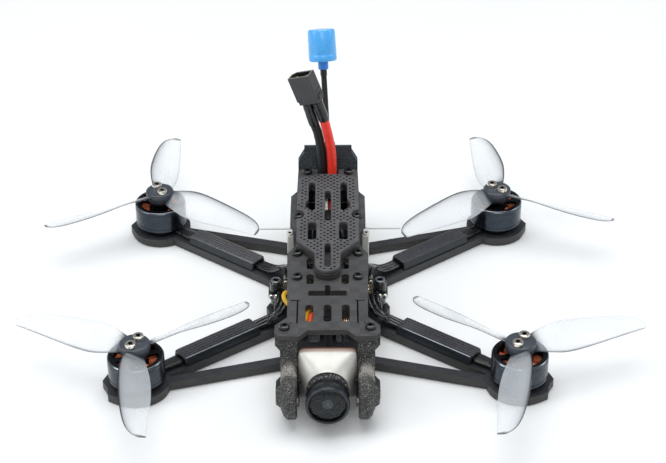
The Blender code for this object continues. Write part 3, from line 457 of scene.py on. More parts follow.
# Painted shade for the insides of screw sockets, bores, slits and holes.
SOCKET_SHADOW = plain("socket_shadow", (16, 17, 19), 0.6, 0.3, 2, 0.03)
DARK_STEEL = metal("blackened_screw", (40, 42, 45), 0.22, (1, 1, 3), 0.1, 0.006, 0.6, Coat_Weight=0.8)
CORE = metal("stator_core", (58, 60, 66), 0.45, (0.3, 0.3, 6), 0.2)
COPPER = plain("copper_wire", (255, 150, 104), 0.25, 0.15, 2, 0.02, Metallic=0.3)
BLADE = blade_look("smoky_blades")
COVER = plain("cover_plastic_satin", (74, 74, 80), 0.3, 0.14, 1.6, 0.03, (0.6, 0.6, 0.6))
# The cover's satin plastic, darker and bluer: painted shade on the cover's sides and feet.
COVER_SIDE_SHADE = plain("cover_side", (28, 36, 42), 0.35, 0.15, 1.5, 0.03)
STRIP = plain("beige_strip", (196, 186, 168), 0.45, 0.12, 2, 0.04)
SLEEVE = plain("wire_sleeve_gloss", (20, 22, 26), 0.26, 0.2, 0.5, 0.02, Coat_Weight=0.4)
POST_RING = metal("post_ring", (132, 134, 138), 0.34)
POST = plain("rubber_post", (26, 27, 30), 0.28, 0.2, 1, 0.04, Coat_Weight=0.4)
SHRINK = plain("heat_shrink", (22, 23, 26), 0.32, 0.3, 0.8, 0.12, Coat_Weight=0.3)
BLUE = plain("blue_cap", (86, 182, 255), 0.3, 0.03, 0.8, 0.01, Coat_Weight=0.25)
NECK_BLUE = plain("blue_neck", (60, 140, 228), 0.4, 0.1, 1.2, 0.02)
COAX = plain("coax_jacket_satin", (14, 16, 19), 0.4, 0.2, 1, 0.03)
ELEMENT = plain("dipole_sleeve", (224, 226, 225), 0.5, 0.05, 1.5, 0.02)
RED = plain("red_silicone_lead", (255, 58, 40), 0.42, 0.06, 0.7, 0.03, Coat_Weight=0.15)
BLACK = plain("black_silicone_lead", (24, 25, 28), 0.42, 0.2, 0.7, 0.05)
NYLON = plain("connector_plastic", (62, 62, 65), 0.5, 0.1, 1, 0.04)
NYLON_EDGE = plain("connector_edge", (118, 116, 112), 0.5, 0.1, 1, 0.03)
GOLD = metal("contact_gold", (250, 214, 150), 0.16, (1, 1, 2))
HOUSING = metal("camera_alloy", (206, 205, 200), 0.5, (0.5, 3, 0.5), 0.05, 0.01, 0.7)
BAND = metal("camera_band", (206, 184, 170), 0.45, (0.5, 3, 0.5), 0.06, 0.02, 0.5)
LIP = metal("copper_lip", (136, 96, 80), 0.45, (1, 1, 1), 0.1, 0.02, 0.6)
BARREL = plain("barrel_black", (20, 22, 26), 0.3, 0.2, 1.4, 0.02)
BARREL_RIM = plain("barrel_rim", (28, 34, 42), 0.3, 0.1, 1.4, 0.02)
KNURL = speckled("barrel_knurl", (26, 27, 30), (150, 150, 146), 1.3, 0.4)
GLASS = glass("front_glass")
RINGS = ringed("lens_rings")
STANDOFF = metal("standoff_alloy", (46, 49, 54), 0.35, (3, 3, 0.4))
YELLOW = plain("yellow_wire", (240, 190, 30), 0.4, 0.12, 1, 0.03)
ORANGE = plain("orange_wire", (232, 84, 44), 0.4, 0.12, 1, 0.03)
WHITE = plain("white_wire", (252, 252, 246), 0.4, 0.08, 1, 0.03)
MAROON = plain("dark_red_wire", (158, 34, 34), 0.4, 0.12, 1, 0.03)


# ---- building
def hexagon(degrees):
	"""How far a hexagon reaches at an angle, as a share of its corners' radius."""
	return cos(radians(30)) / cos(radians(degrees % 60 - 30))


def knurl(count, depth):
	return lambda degrees: 1 + depth * cos(radians(count * degrees))


def smooth_path(knots, spacing):
	"""Points along a Catmull-Rom curve through the knots, about the spacing apart."""
	knots = [Vector(k) for k in knots]
	ends = [knots[0] * 2 - knots[1]] + knots + [knots[-1] * 2 - knots[-2]]
	fine = []
	for p0, p1, p2, p3 in zip(ends, ends[1:], ends[2:], ends[3:]):
		for k in range(24):
			t = k / 24
			bend = (2 * p0 - 5 * p1 + 4 * p2 - p3) * t * t + (3 * p1 - p0 - 3 * p2 + p3) * t**3
			fine.append(0.5 * (2 * p1 + (p2 - p0) * t + bend))
	fine.append(knots[-1])
	total = sum((b - a).length for a, b in zip(fine, fine[1:]))
	count = max(2, round(total / spacing))
	points, gone, index = [], 0, 0
	for goal in (total * k / count for k in range(count + 1)):
		while index < len(fine) - 2 and gone + (fine[index + 1] - fine[index]).length < goal:
			gone += (fine[index + 1] - fine[index]).length
			index += 1
		step = fine[index + 1] - fine[index]
		share = (goal - gone) / step.length if step.length else 0
		points.append(fine[index] + step * min(1, share))
	return points


class Shape:
	"""A mesh in the making. Points are in millimetres and each face has a material number."""

	def __init__(self):
		self.bm = bmesh.new()

	def loft(self, rings, mats=0, caps=True, loop=False):
		"""Faces between closed rings of points. mats is one number, or one per band."""
		rows = [[self.bm.verts.new(Vector(p) * MM) for p in ring] for ring in rings]
		pairs = list(zip(rows, rows[1:])) + ([(rows[-1], rows[0])] if loop else [])
		kinds = [mats] * len(pairs) if isinstance(mats, int) else mats
		for (a, b), kind in zip(pairs, kinds):
			for i in range(len(a)):
				j = (i + 1) % len(a)
				self.bm.faces.new((a[i], a[j], b[j], b[i])).material_index = kind
		if caps and not loop:
			self.bm.faces.new(rows[0]).material_index = kinds[0]
			self.bm.faces.new(rows[-1]).material_index = kinds[-1]
		return rows

	def turned(self, profile, mats=0, segments=48, matrix=None, caps=True, loop=False):
		"""A profile of (radius, height[, form]) turned about Z. form(degrees) scales the radius."""
		rings = []
		for radius, z, *form in profile:
			ring = []
			for k in range(segments):
				degrees = 360 * k / segments
				reach = radius * form[0](degrees) if form else radius
				spot = on_circle(reach, degrees, z) * MM
				ring.append((matrix @ spot if matrix else spot) / MM)
			rings.append(ring)
		return self.loft(rings, mats, caps, loop)

	def slab(self, outline, low, high, bevel=0, mat=0, matrix=None):
		"""An outline extruded from low to high, with its edges rounded by bevel."""
		part = bmesh.new()
		base = part.faces.new([part.verts.new(Vector((x, y, low)) * MM) for x, y in outline])
		grown = bmesh.ops.extrude_face_region(part, geom=[base])["geom"]
		lifted = [g for g in grown if isinstance(g, bmesh.types.BMVert)]
		bmesh.ops.translate(part, vec=(0, 0, (high - low) * MM), verts=lifted)
		bmesh.ops.recalc_face_normals(part, faces=part.faces)
		if bevel:
			edges = [e for e in part.edges if e.calc_face_angle(0) > 0.5]
			bmesh.ops.bevel(part, geom=edges, offset=bevel * MM, segments=2, affect="EDGES", profile=0.5)
		for face in part.faces:
			face.material_index = mat
		if matrix:
			bmesh.ops.transform(part, matrix=matrix, verts=part.verts)
		mesh = bpy.data.meshes.new("part")
		part.to_mesh(mesh)
		part.free()
		self.bm.from_mesh(mesh)
		bpy.data.meshes.remove(mesh)

	def box(self, low, high, bevel=0.15, mat=0, matrix=None):
		(x0, y0, z0), (x1, y1, z1) = low, high
		self.slab([(x0, y0), (x1, y0), (x1, y1), (x0, y1)], z0, z1, bevel, mat, matrix)

	def tube(self, points, radius, mat=0, sides=10, loop=False):
		"""A round tube along the points. radius is a number or a function of the share along."""
		points = [Vector(p) for p in points]
		count = len(points)
		across = None
		rings = []
		for k, point in enumerate(points):
			before = points[k - 1] if k or loop else point
			after = points[(k + 1) % count] if k < count - 1 or loop else point
			ahead = (after - before).normalized()
			if across is None:
				across = ahead.orthogonal().normalized()
			across = (across - ahead * across.dot(ahead)).normalized()
			up = ahead.cross(across)
			reach = radius(k / (count - 1)) if callable(radius) else radius
			ring = []
			for s in range(sides):
				c = on_circle(reach, 360 * s / sides)
				ring.append(point + across * c.x + up * c.y)
			rings.append(ring)
		return self.loft(rings, mat, True, loop)

	def screw(self, matrix, radius=1.75, height=1.3, shank=2, mats=(0, 1), dome=0.25):
		"""A screw with a hex socket: its head's underside is at zero."""
		key = radius * 0.48
		profile = [
			(0.05, height * 0.35, hexagon),
			(key, height * 0.35, hexagon),
			(key, height, hexagon),
			(key * 1.12, height),
			(radius - dome, height),
			(radius - dome * 0.35, height - dome * 0.25),
			(radius, height - dome),
			(radius, 0.12),
			(radius - 0.12, 0),
			(radius * 0.42, 0),
			(radius * 0.42, -shank),
		]
		# The second material, mostly the socket shadow, goes on the socket's floor and walls and on the shank: painted shade
		# in the socket.
		face, dark = mats
		kinds = [dark, dark] + [face] * (len(profile) - 4) + [dark]
		return self.turned(profile, kinds, 36, matrix)

	def piece(self, name, mats, slot, replaces=(), pose=None, body="airframe", sharp=32, spin=0):
		"""Links the shape as a piece that rides on a body and stands for CAD nodes."""
		bmesh.ops.transform(self.bm, matrix=turn(spin), verts=self.bm.verts)
		bmesh.ops.remove_doubles(self.bm, verts=self.bm.verts, dist=1e-8)
		bmesh.ops.recalc_face_normals(self.bm, faces=self.bm.faces)
		mesh = bpy.data.meshes.new(name)
		self.bm.to_mesh(mesh)
		self.bm.free()
		for mat in mats:
			mesh.materials.append(mat)
		mesh.shade_smooth()
		mesh.set_sharp_from_angle(angle=radians(sharp))
		obj = bpy.data.objects.new(name, mesh)
		link(obj)
		obj.matrix_world = WORLD @ pose if pose else WORLD
		return settle(obj, body, slot, replaces)


def settle(obj, body, slot, replaces=()):
	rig.ride(obj, body)
	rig.slot(obj, slot)
	if replaces:
		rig.replaces(obj, *replaces)
	return obj


def dress(node, mat, width, segments=2):
	"""Gives a CAD node its material and rounds its sharp edges."""
	obj = NODES[node]
	obj.data.materials.clear()
	obj.data.materials.append(mat)
	obj.modifiers.new("weld", "WELD").merge_threshold = 1e-5
	bevel = obj.modifiers.new("round", "BEVEL")
	bevel.width = width * MM
	bevel.segments = segments
	bevel.limit_method = "ANGLE"
	bevel.angle_limit = radians(30)
	bevel.use_clamp_overlap = True


# ---- battery leads and connector
LEAD_R = 1.7
LEADS = {
	"red": [
		(4, 3.5, 11.9), (4.05, 8.4, 13.6), (3.9, 11.9, 18.8), (3.4, 17, 22.9), (2.6, 25, 23.3),
		(1.95, 35, 23.2), (1.7, 39.6, 24.2), (1.5, 41.2, 27.4), (1.5, 41.5, 33),
		(1.25, 41.4, 38.9), (0.25, 41.3, 45.1), (-1.35, 41.2, 52.2), (-3.68, 41.03, 59.34),
	],
	"black": [
		(-4, 3.5, 11.9), (-4.05, 8.4, 13.6), (-4, 11.9, 18.8), (-3.8, 17, 22.9), (-3.1, 25, 23.3),
		(-2.2, 35, 23.2), (-2.1, 39.8, 24.2), (-2.05, 41.6, 27.4), (-2.1, 42.3, 33),
		(-2.5, 42.6, 39), (-3.4, 42.7, 45.2), (-5.2, 42.5, 50.8), (-7.23, 42.76, 57.9),
	],
}
SHRINK_FROM = {"red": 51, "black": 48.6}
CONNECTOR = at(-6.05, 42, 60.2) @ turn(-22.1, "Y") @ turn(-24.3) @ turn(-3.7, "X")

for tint, knots in LEADS.items():
	route = smooth_path(knots, 4)
	curve = bpy.data.curves.new("lead_" + tint, "CURVE")
	curve.dimensions = "3D"
	curve.bevel_depth = LEAD_R * MM
	curve.bevel_resolution = 5
	curve.use_fill_caps = True
	spline = curve.splines.new("POLY")
	spline.points.add(len(route) - 1)
	for point, spot in zip(spline.points, route):
		point.co = (*(spot * MM + CENTRE), 1)
	spline.use_smooth = True
	curve.materials.append(RED if tint == "red" else BLACK)
	lead = bpy.data.objects.new("lead_" + tint, curve)
	link(lead)
	settle(lead, "airframe", tint + "_silicone", ["battery_lead_" + tint])

	fine = smooth_path(knots, 1)
	covered = [p for p in fine if p.z > SHRINK_FROM[tint]]
	sleeve = Shape()
	sleeve.tube(
		covered,
		lambda t: 1.8 + 0.14 * min(1, t * 8) + 0.05 * sin(t * 26) * sin(t * 9 + 1),
		0,
		20,
	)
	sleeve.tube([p for p in fine if p.y < 21], 1.85, 0, 20)
	shrunk = sleeve.piece("lead_shrink_" + tint, [SHRINK], "wire_sleeve")
	total = sum((b - a).length for a, b in zip(route, route[1:])) * MM
	pin = "connector_pin_positive" if tint == "red" else "connector_pin_negative"
	blade = Shape()
	spot = 2.1 if tint == "red" else -2.1
	profile = [(0.05, 2.9), (0.95, 2.9), (0.95, 8.3), (0.86, 8.9), (0.62, 9.2), (0.05, 9.3)]
	blade.turned(profile, 0, 32, at(spot, 0))
	# Two crossed slits in each contact, filled with painted shade.
	for k in range(2):
		blade.box((-1, -0.08, 5.6), (1, 0.08, 9.34), 0, 1, at(spot, 0) @ turn(45 + 90 * k))
	contact = blade.piece("contact_" + tint, [GOLD, SOCKET_SHADOW], "gold_contact", [pin], CONNECTOR)
	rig.cord(
		lead,
		exit=route[0] * MM + CENTRE,
		length=total,
		diameter=2 * LEAD_R * MM,
		far_end="connector",
		stiffness="stiff",
		lay="loose",
		with_pieces=[shrunk, contact, NODES["battery_connector"]],
	)

dress("battery_connector", NYLON, 0.35)
trim = Shape()
rim = [(-4.35, 0.9), (-4.35, -2.45), (4.35, -2.45), (4.35, 2.45), (-2.8, 2.45)]
inset = [(-3.7, 0.6), (-3.7, -1.8), (3.7, -1.8), (3.7, 1.8), (-2.5, 1.8)]
outer = [[(x * 0.975, y * 0.965, z) for x, y in rim] for z in (9.72, 9.86)]
inner = [[(x * 1.01, y * 1.01, z) for x, y in inset] for z in (9.86, 9.72)]
trim.loft(outer + inner, 1, loop=True)
# A dark lining down inside the mouth: painted shade.
lining = [[(x * 0.985, y * 0.97, z) for x, y in inset] for z in (9.7, 2.7)]
trim.loft(lining, 2, caps=False)
trim.box((-4.55, -1.7, 1.5), (4.55, 1.7, 1.75), 0.05, 0)
trim.box((4.2, -1.2, 2.6), (4.55, 1.2, 3.3), 0.1, 0)
trim.piece("connector_trim", [NYLON, NYLON_EDGE, SOCKET_SHADOW], "connector_nylon", (), CONNECTOR)

# ---- plates and mounts kept from the CAD
dress("main_frame", SHADED_FRAME_CARBON, 0.22)
dress("front_top_plate", LAMINATE, 0.2)
dress("rear_top_plate", LAMINATE, 0.2)
dress("camera_mount_left", TPU, 0.6, 3)
dress("camera_mount_right", TPU, 0.6, 3)
dress("tail_mount", TAIL_TPU, 0.5, 3)


# ---- battery pad
def slot_ring(x0, x1, y0, y1, corner=0.9):
	"""A rounded rectangle."""
	points = []
	for x, y, start in ((x1, y1, 0), (x0, y1, 90), (x0, y0, 180), (x1, y0, 270)):
		middle = Vector((x - corner if x == x1 else x + corner, y - corner if y == y1 else y + corner))
		for k in range(5):
			spot = middle + on_circle(corner, start + 90 * k / 4).xy
			points.append((spot.x, spot.y))
	return points


def flipped(ring):
	return [(-x, y) for x, y in ring]


def inside(x, y, ring):
	hit = False
	for (ax, ay), (bx, by) in zip(ring, ring[1:] + ring[:1]):
		if (ay > y) != (by > y) and x < (bx - ax) * (y - ay) / (by - ay) + ax:
			hit = not hit
	return hit


def edge_distance(x, y, ring):
	"""How far a point is from a ring's line."""
	spot = Vector((x, y))
	best = 1e9
	for a, b in zip(ring, ring[1:] + ring[:1]):
		a, b = Vector(a), Vector(b)
		share = max(0, min(1, (spot - a).dot(b - a) / max((b - a).length_squared, 1e-9)))
		best = min(best, (spot - a - (b - a) * share).length)
	return best


tip = [(0.95 * 4.3 * cos(a), -21.3 - 4 * sin(a)) for a in
	   (radians(90 * k / 8) for k in range(1, 9))]
pad_half = [(0, 38.9), (3.7, 38.9), (5.3, 37.6), (8.6, 37.2), (10.7, 35.6), (10.9, 28.6),
	(11, 14.2), (9, 13.4), (8.2, 11.1), (9, 8.8), (11, 8), (10.7, -5.6)]
pad_half += [(4.4, -13.8), (4.1, -21.4)] + tip[:-1]
pad_ring = pad_half + [(0, -25.3)] + [(-x, y) for x, y in reversed(pad_half) if x > 1e-6]
hooked = [(4.5, 14.4), (5.6, 13.4), (7.9, 16.3), (7.9, 19), (6.9, 21.5),
	(6.9, 32.2), (5.7, 33.2), (4.5, 32.2)]
strap_slots = [hooked, slot_ring(3.9, 6.9, -5.5, 5.8)]
strap_slots += [flipped(ring) for ring in strap_slots]
strap_slots.append(slot_ring(-1.1, 1.1, 6.8, 27.1, 1))
strap_slots.append(slot_ring(-1.05, 1.05, -22.5, -7.8, 1))


def inset_ring(ring, amount, outward):
	"""The ring moved sideways: into its own area, or away from it for a hole."""
	count = len(ring)
	area = sum(a[0] * b[1] - b[0] * a[1] for a, b in zip(ring, ring[1:] + ring[:1]))
	sign = (1 if area > 0 else -1) * (-1 if outward else 1)
	moved = []
	for k in range(count):
		a, b, c = (Vector(ring[(k + j) % count]) for j in (-1, 0, 1))
		first, second = (b - a).normalized(), (c - b).normalized()
		normal = Vector((-(first + second).y, (first + second).x))
		normal = normal.normalized() * sign * amount if normal.length > 1e-6 else Vector((0, 0))
		moved.append((b.x + normal.x, b.y + normal.y))
	return moved


def build_pad():
	"""A pad whose grip is a staggered field of round pits inside a smooth rim."""
	pitch, pit_r, margin, rim_drop = 1.14, 0.46, 0.75, 0.25
	rings = [pad_ring] + strap_slots
	points, segments, heights = [], [], []

	def add_ring(ring, z):
		start = len(points)
		points.extend(Vector(p) for p in ring)
		heights.extend([z] * len(ring))
		segments.extend((start + k, start + (k + 1) % len(ring)) for k in range(len(ring)))

	low, high = PAD_Z
	for k, ring in enumerate(rings):
		add_ring(ring, high - rim_drop)
		add_ring(inset_ring(ring, 0.28, k > 0), high - 0.03)
	for i in range(-10, 11):
		for j in range(-24, 35):
			x = i * pitch + random.uniform(-0.05, 0.05)
			y = j * pitch + random.uniform(-0.05, 0.05)
			if (i + j) % 2 or not inside(x, y, pad_ring):
				continue
			if any(inside(x, y, ring) for ring in strap_slots):
				continue
			if min(edge_distance(x, y, ring) for ring in rings) < margin:
				continue
			deep = random.uniform(0.3, 0.5)
			for radius, drop in ((pit_r, 0), (pit_r * 0.72, deep)):
				for s in range(8):
					spot = on_circle(radius, 45 * s + 22.5)
					points.append(Vector((x + spot.x, y + spot.y)))
					heights.append(high - drop)
			points.append(Vector((x, y)))
			heights.append(high - deep)
	verts, _, faces, origins, *_ = geometry.delaunay_2d_cdt(points, segments, [], 0, 1e-6)
	pad = Shape()
	made = []
	for spot, sources in zip(verts, origins):
		z = heights[sources[0]] if sources else high
		made.append(pad.bm.verts.new(Vector((spot.x, spot.y, z)) * MM))
	for face in faces:
		middle = sum((verts[i] for i in face), Vector((0, 0))) / len(face)
		if not inside(*middle, pad_ring) or any(inside(*middle, ring) for ring in strap_slots):
			continue
		depth = sum(made[i].co.z for i in face) / len(face) / MM
		lid = pad.bm.faces.new([made[i] for i in face])
		# Faces down in the pits take the darker rubber: painted shade.
		lid.material_index = 1 if depth < high - 0.1 and depth != high - rim_drop else 0
		if min(made[i].co.z for i in face) / MM > high - rim_drop - 0.02:
			lid.material_index = 0
	edges = [e for e in pad.bm.edges if e.is_boundary]
	grown = bmesh.ops.extrude_edge_only(pad.bm, edges=edges)["geom"]
	for vert in grown:
		if isinstance(vert, bmesh.types.BMVert):
			vert.co.z = low * MM
	for vert in [v for v in pad.bm.verts if not v.link_faces]:
		pad.bm.verts.remove(vert)
	return pad


build_pad().piece("grip_pad", [PAD_RUBBER, PIT_SHADE_AND_CABLE_RUBBER], "grip_rubber", ["battery_pad"])

# ---- screws of the plates
PLATE_SCREWS = [(10.2, -23.7, FRONT_TOP), (13.8, -52.8, FRONT_TOP), (10.4, -9.2, FRONT_TOP),
	(7.5, 42, REAR_TOP), (10.2, 11.1, REAR_TOP)]
fasteners = Shape()
for sign in (1, -1):
	for k, (x, y, z) in enumerate(PLATE_SCREWS):
		fasteners.screw(at(sign * x, y, z + 0.02) @ turn(17 * k + 23 * sign), dome=0.55)
	for x, y in ((12, -50), (9.85, -50)):
		# Dark discs sunk in the plate at its small holes: painted shade in the holes.
		hole = [(0.05, FRONT_TOP + 0.02), (0.42, FRONT_TOP + 0.02), (0.42, FRONT_TOP - 0.6)]
		fasteners.turned(hole, 1, 20, at(sign * x, y))
fasteners.piece("plate_screws", [DARK_STEEL, SOCKET_SHADOW], "screw_steel")

# ---- standoffs
for spot in ("mid_left", "mid_right", "rear_left", "rear_right", "tail_left", "tail_right"):
	low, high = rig.box("standoff_" + spot)
	x, y = ((low.x + high.x) / 2 - CENTRE.x) / MM, ((low.y + high.y) / 2 - CENTRE.y) / MM
	bottom, top, r = low.z / MM, high.z / MM, (high.y - low.y) / MM / 2
	profile = [(0.05, bottom), (r - 0.3, bottom), (r, bottom + 0.3), (r, bottom + 4),
		(r - 0.35, bottom + 4.4), (r - 0.35, top - 4.4), (r, top - 4),
		(r, top - 0.3), (r - 0.3, top), (0.05, top)]
	post = Shape()
	post.turned(profile, 0, 40)
	stands_for = ["standoff_" + spot]
	post.piece("spacer_" + spot, [STANDOFF], "anodised_gunmetal", stands_for, at(x, y))

# ---- flight controller
fc = Shape()
outline = [(2.6, 20.8), (-2.6, 20.8), (-20.8, 2.6), (-20.8, -2.6),
	(-2.6, -20.8), (2.6, -20.8), (20.8, -2.6), (20.8, 2.6)]
fc.slab(outline, *BOARD_Z, 0.12, 0)
for k in range(4):
	x, y = on_circle(STACK_HOLE, 90 * k).xy
	body = [(1, 3.35), (2, 3.45), (2.1, 3.7), (2.1, 8.3), (2.2, 8.6), (2.25, 9), (2.25, 13.1),
		(2.15, 13.6), (1.9, 13.85), (1.8, 14), (1.1, 14), (1, 13.9)]
	fc.turned(body, 1, 36, at(x, y), loop=True)
	top = [(1.12, 12), (1.12, 13.9), (1.2, 14), (1.75, 14.05), (1.86, 14.2), (1.82, 14.55)]
	fc.turned(top + [(1.6, 14.7), (1.15, 14.7), (1.02, 14.5), (1.02, 12)], 2, 36, at(x, y), loop=True)
	# A dark disc down in each post's bore: painted shade.
	fc.turned([(0.05, 13.2), (1.06, 13.2), (1.06, 12.9), (0.05, 12.9)], 6, 20, at(x, y))
diagonal = turn(45)
fc.box((-3.5, -3.5, 9.7), (3.5, 3.5, 10.7), 0.12, 3, diagonal)
for x, y, w, d, h in (
	(-8.2, -4, 3.2, 5, 0.8), (-8.6, 5.2, 2.6, 3, 1), (6.8, 5.6, 3.4, 3.4, 0.9),
	(6.6, -5.8, 2.8, 4.4, 0.7), (0, -9, 4.2, 2.4, 0.9),
):
	fc.box((x - w / 2, y - d / 2, 9.7), (x + w / 2, y + d / 2, 9.8 + h), 0.1, 3, diagonal)
fc.box((10.5, -4, 6), (16.3, 4, 8.9), 0.3, 4, diagonal)
# Solder pads along the board's edges and round its mounting holes
for sign in (1, -1):
	for end in (1, -1):
		for k in range(4):
			x, y = sign * (16.6 - 1.6 * k), end * (3.6 + 1.6 * k)
			fc.box((x - 0.6, y - 0.6, 9.75), (x + 0.6, y + 0.6, 9.92), 0.05, 5)
			dome = [(0.7, 9.9), (0.66, 10.3), (0.4, 10.65), (0.05, 10.75)]
			if k < 3:
				fc.turned(dome, 4, 16, at(x, y))
# Wire joints beside the side posts
joint = [(0.85, 9.7), (0.85, 10.3), (0.6, 10.9), (0.05, 11.1)]
for sign in (1, -1):
	for k in (-1, 0, 1):
		fc.turned(joint, 4, 16, at(sign * (18.1 + 1.7 * k), -4))
for sign in (1, -1):
	for k in range(3):
		fc.box(
			(sign * 13.9 - 0.55, -2.6 + 2.1 * k, 9.75),
			(sign * 13.9 + 0.55, -1.2 + 2.1 * k, 10.6),
			0.12,
			(5, 4, 5)[k],
		)
fc.piece(
	"flight_stack",
	[FIBRE_GLASS, POST, POST_RING, CHIP, SOLDER, PAD_GOLD, SOCKET_SHADOW],
	"circuit_board",
	["flight_controller"],
	at(0, STACK_Y),
)

# ---- video transmitter
vtx = Shape()
vtx.box((-12.6, 17.8, 8), (12.6, 39, 18.6), 0.3, 0)
vtx.box((-11.8, 15.3, 18.2), (11.8, 38.2, 19), 0.25, 1)
vtx.box((-11.8, 15.1, 8.6), (11.8, 15.7, 19), 0.2, 1)
face = [(14.4, 18.4), (-14.4, 18.4), (-14.4, 15.4)]
for x in (-13.5, -12.5, 12.5, 13.5):
	face += [(x - 0.2, 15.4), (x - 0.2, 15.75), (x + 0.2, 15.75), (x + 0.2, 15.4)]
face.append((14.4, 15.4))
vtx.slab(face, 8, 18.4, 0, 0)
for sign in (1, -1):
	x = sign * 13.6
	lug = [(0.62, 19.1, hexagon), (0.8, 19.3), (1.18, 19.3), (1.3, 19.15), (1.3, 17.9),
		(1.05, 17.6), (1.05, 8.6), (0.05, 8.6), (0.05, 18.2), (0.62, 18.2, hexagon)]
	# The hex socket's floor and walls take painted shade.
	vtx.turned(lug, [0] * 8 + [2, 2], 36, at(x, 17.2), loop=True)
	for y in (18.2, 36):
		foot = [(0.05, 3.35), (1.4, 3.35), (1.6, 3.6), (1.6, 7.4), (1.3, 8.4)]
		vtx.turned(foot, 3, 24, at(sign * 11, y))
vtx.piece("transmitter", [CREAM, BELL_DARK, SOCKET_SHADOW, SHRINK], "cast_aluminium", ["video_transmitter"])

# ---- receiver antenna
rod = Shape()
spans = [(-24.1, 0.25), (-23.9, 0.42), (-3, 0.42), (-2.6, 0.45), (2.9, 0.45), (3.3, 0.42),
	(25.2, 0.42), (25.4, 0.25)]
profile = [(0.03, -24.1)] + [(r, s) for s, r in spans] + [(0.03, 25.4)]
rod.turned(profile, 0, 16, at(0, 8, 26.6) @ turn(90, "Y"))
rod.piece("receiver_dipole", [ELEMENT], "antenna_element", ["receiver_antenna"])


# ---- motor wires and covers
REACH = hypot(MOTOR_X, MOTOR_Y)


def along_arm(sx, sy, distance, offset=0, z=0):
	"""A point on an arm, from the frame's centre, offset to its left."""
	ux, uy = sx * MOTOR_X / REACH, sy * MOTOR_Y / REACH
	return Vector((ux * distance - uy * offset, uy * distance + ux * offset, z))


COVER_SPAN = (32, 62.5)
ARM_TOP, WIRE_Z = 3.3, 4.15
cover_line = [(-3.7, 3.3), (-2.8, 3.3), (-2.5, 5.3), (2.5, 5.3), (2.8, 3.3), (3.7, 3.3),
	(3.68, 3.5), (3.2, 5.7), (3.12, 5.9), (2.95, 6.06)]
for k in range(5):
	middle = 2.4 - 1.2 * k
	cover_line += [(middle + 0.3, 6.1), (middle + 0.12, 5.82), (middle - 0.12, 5.82), (middle - 0.3, 6.1)]
cover_line += [(-2.95, 6.06), (-3.12, 5.9), (-3.2, 5.7), (-3.68, 3.5)]

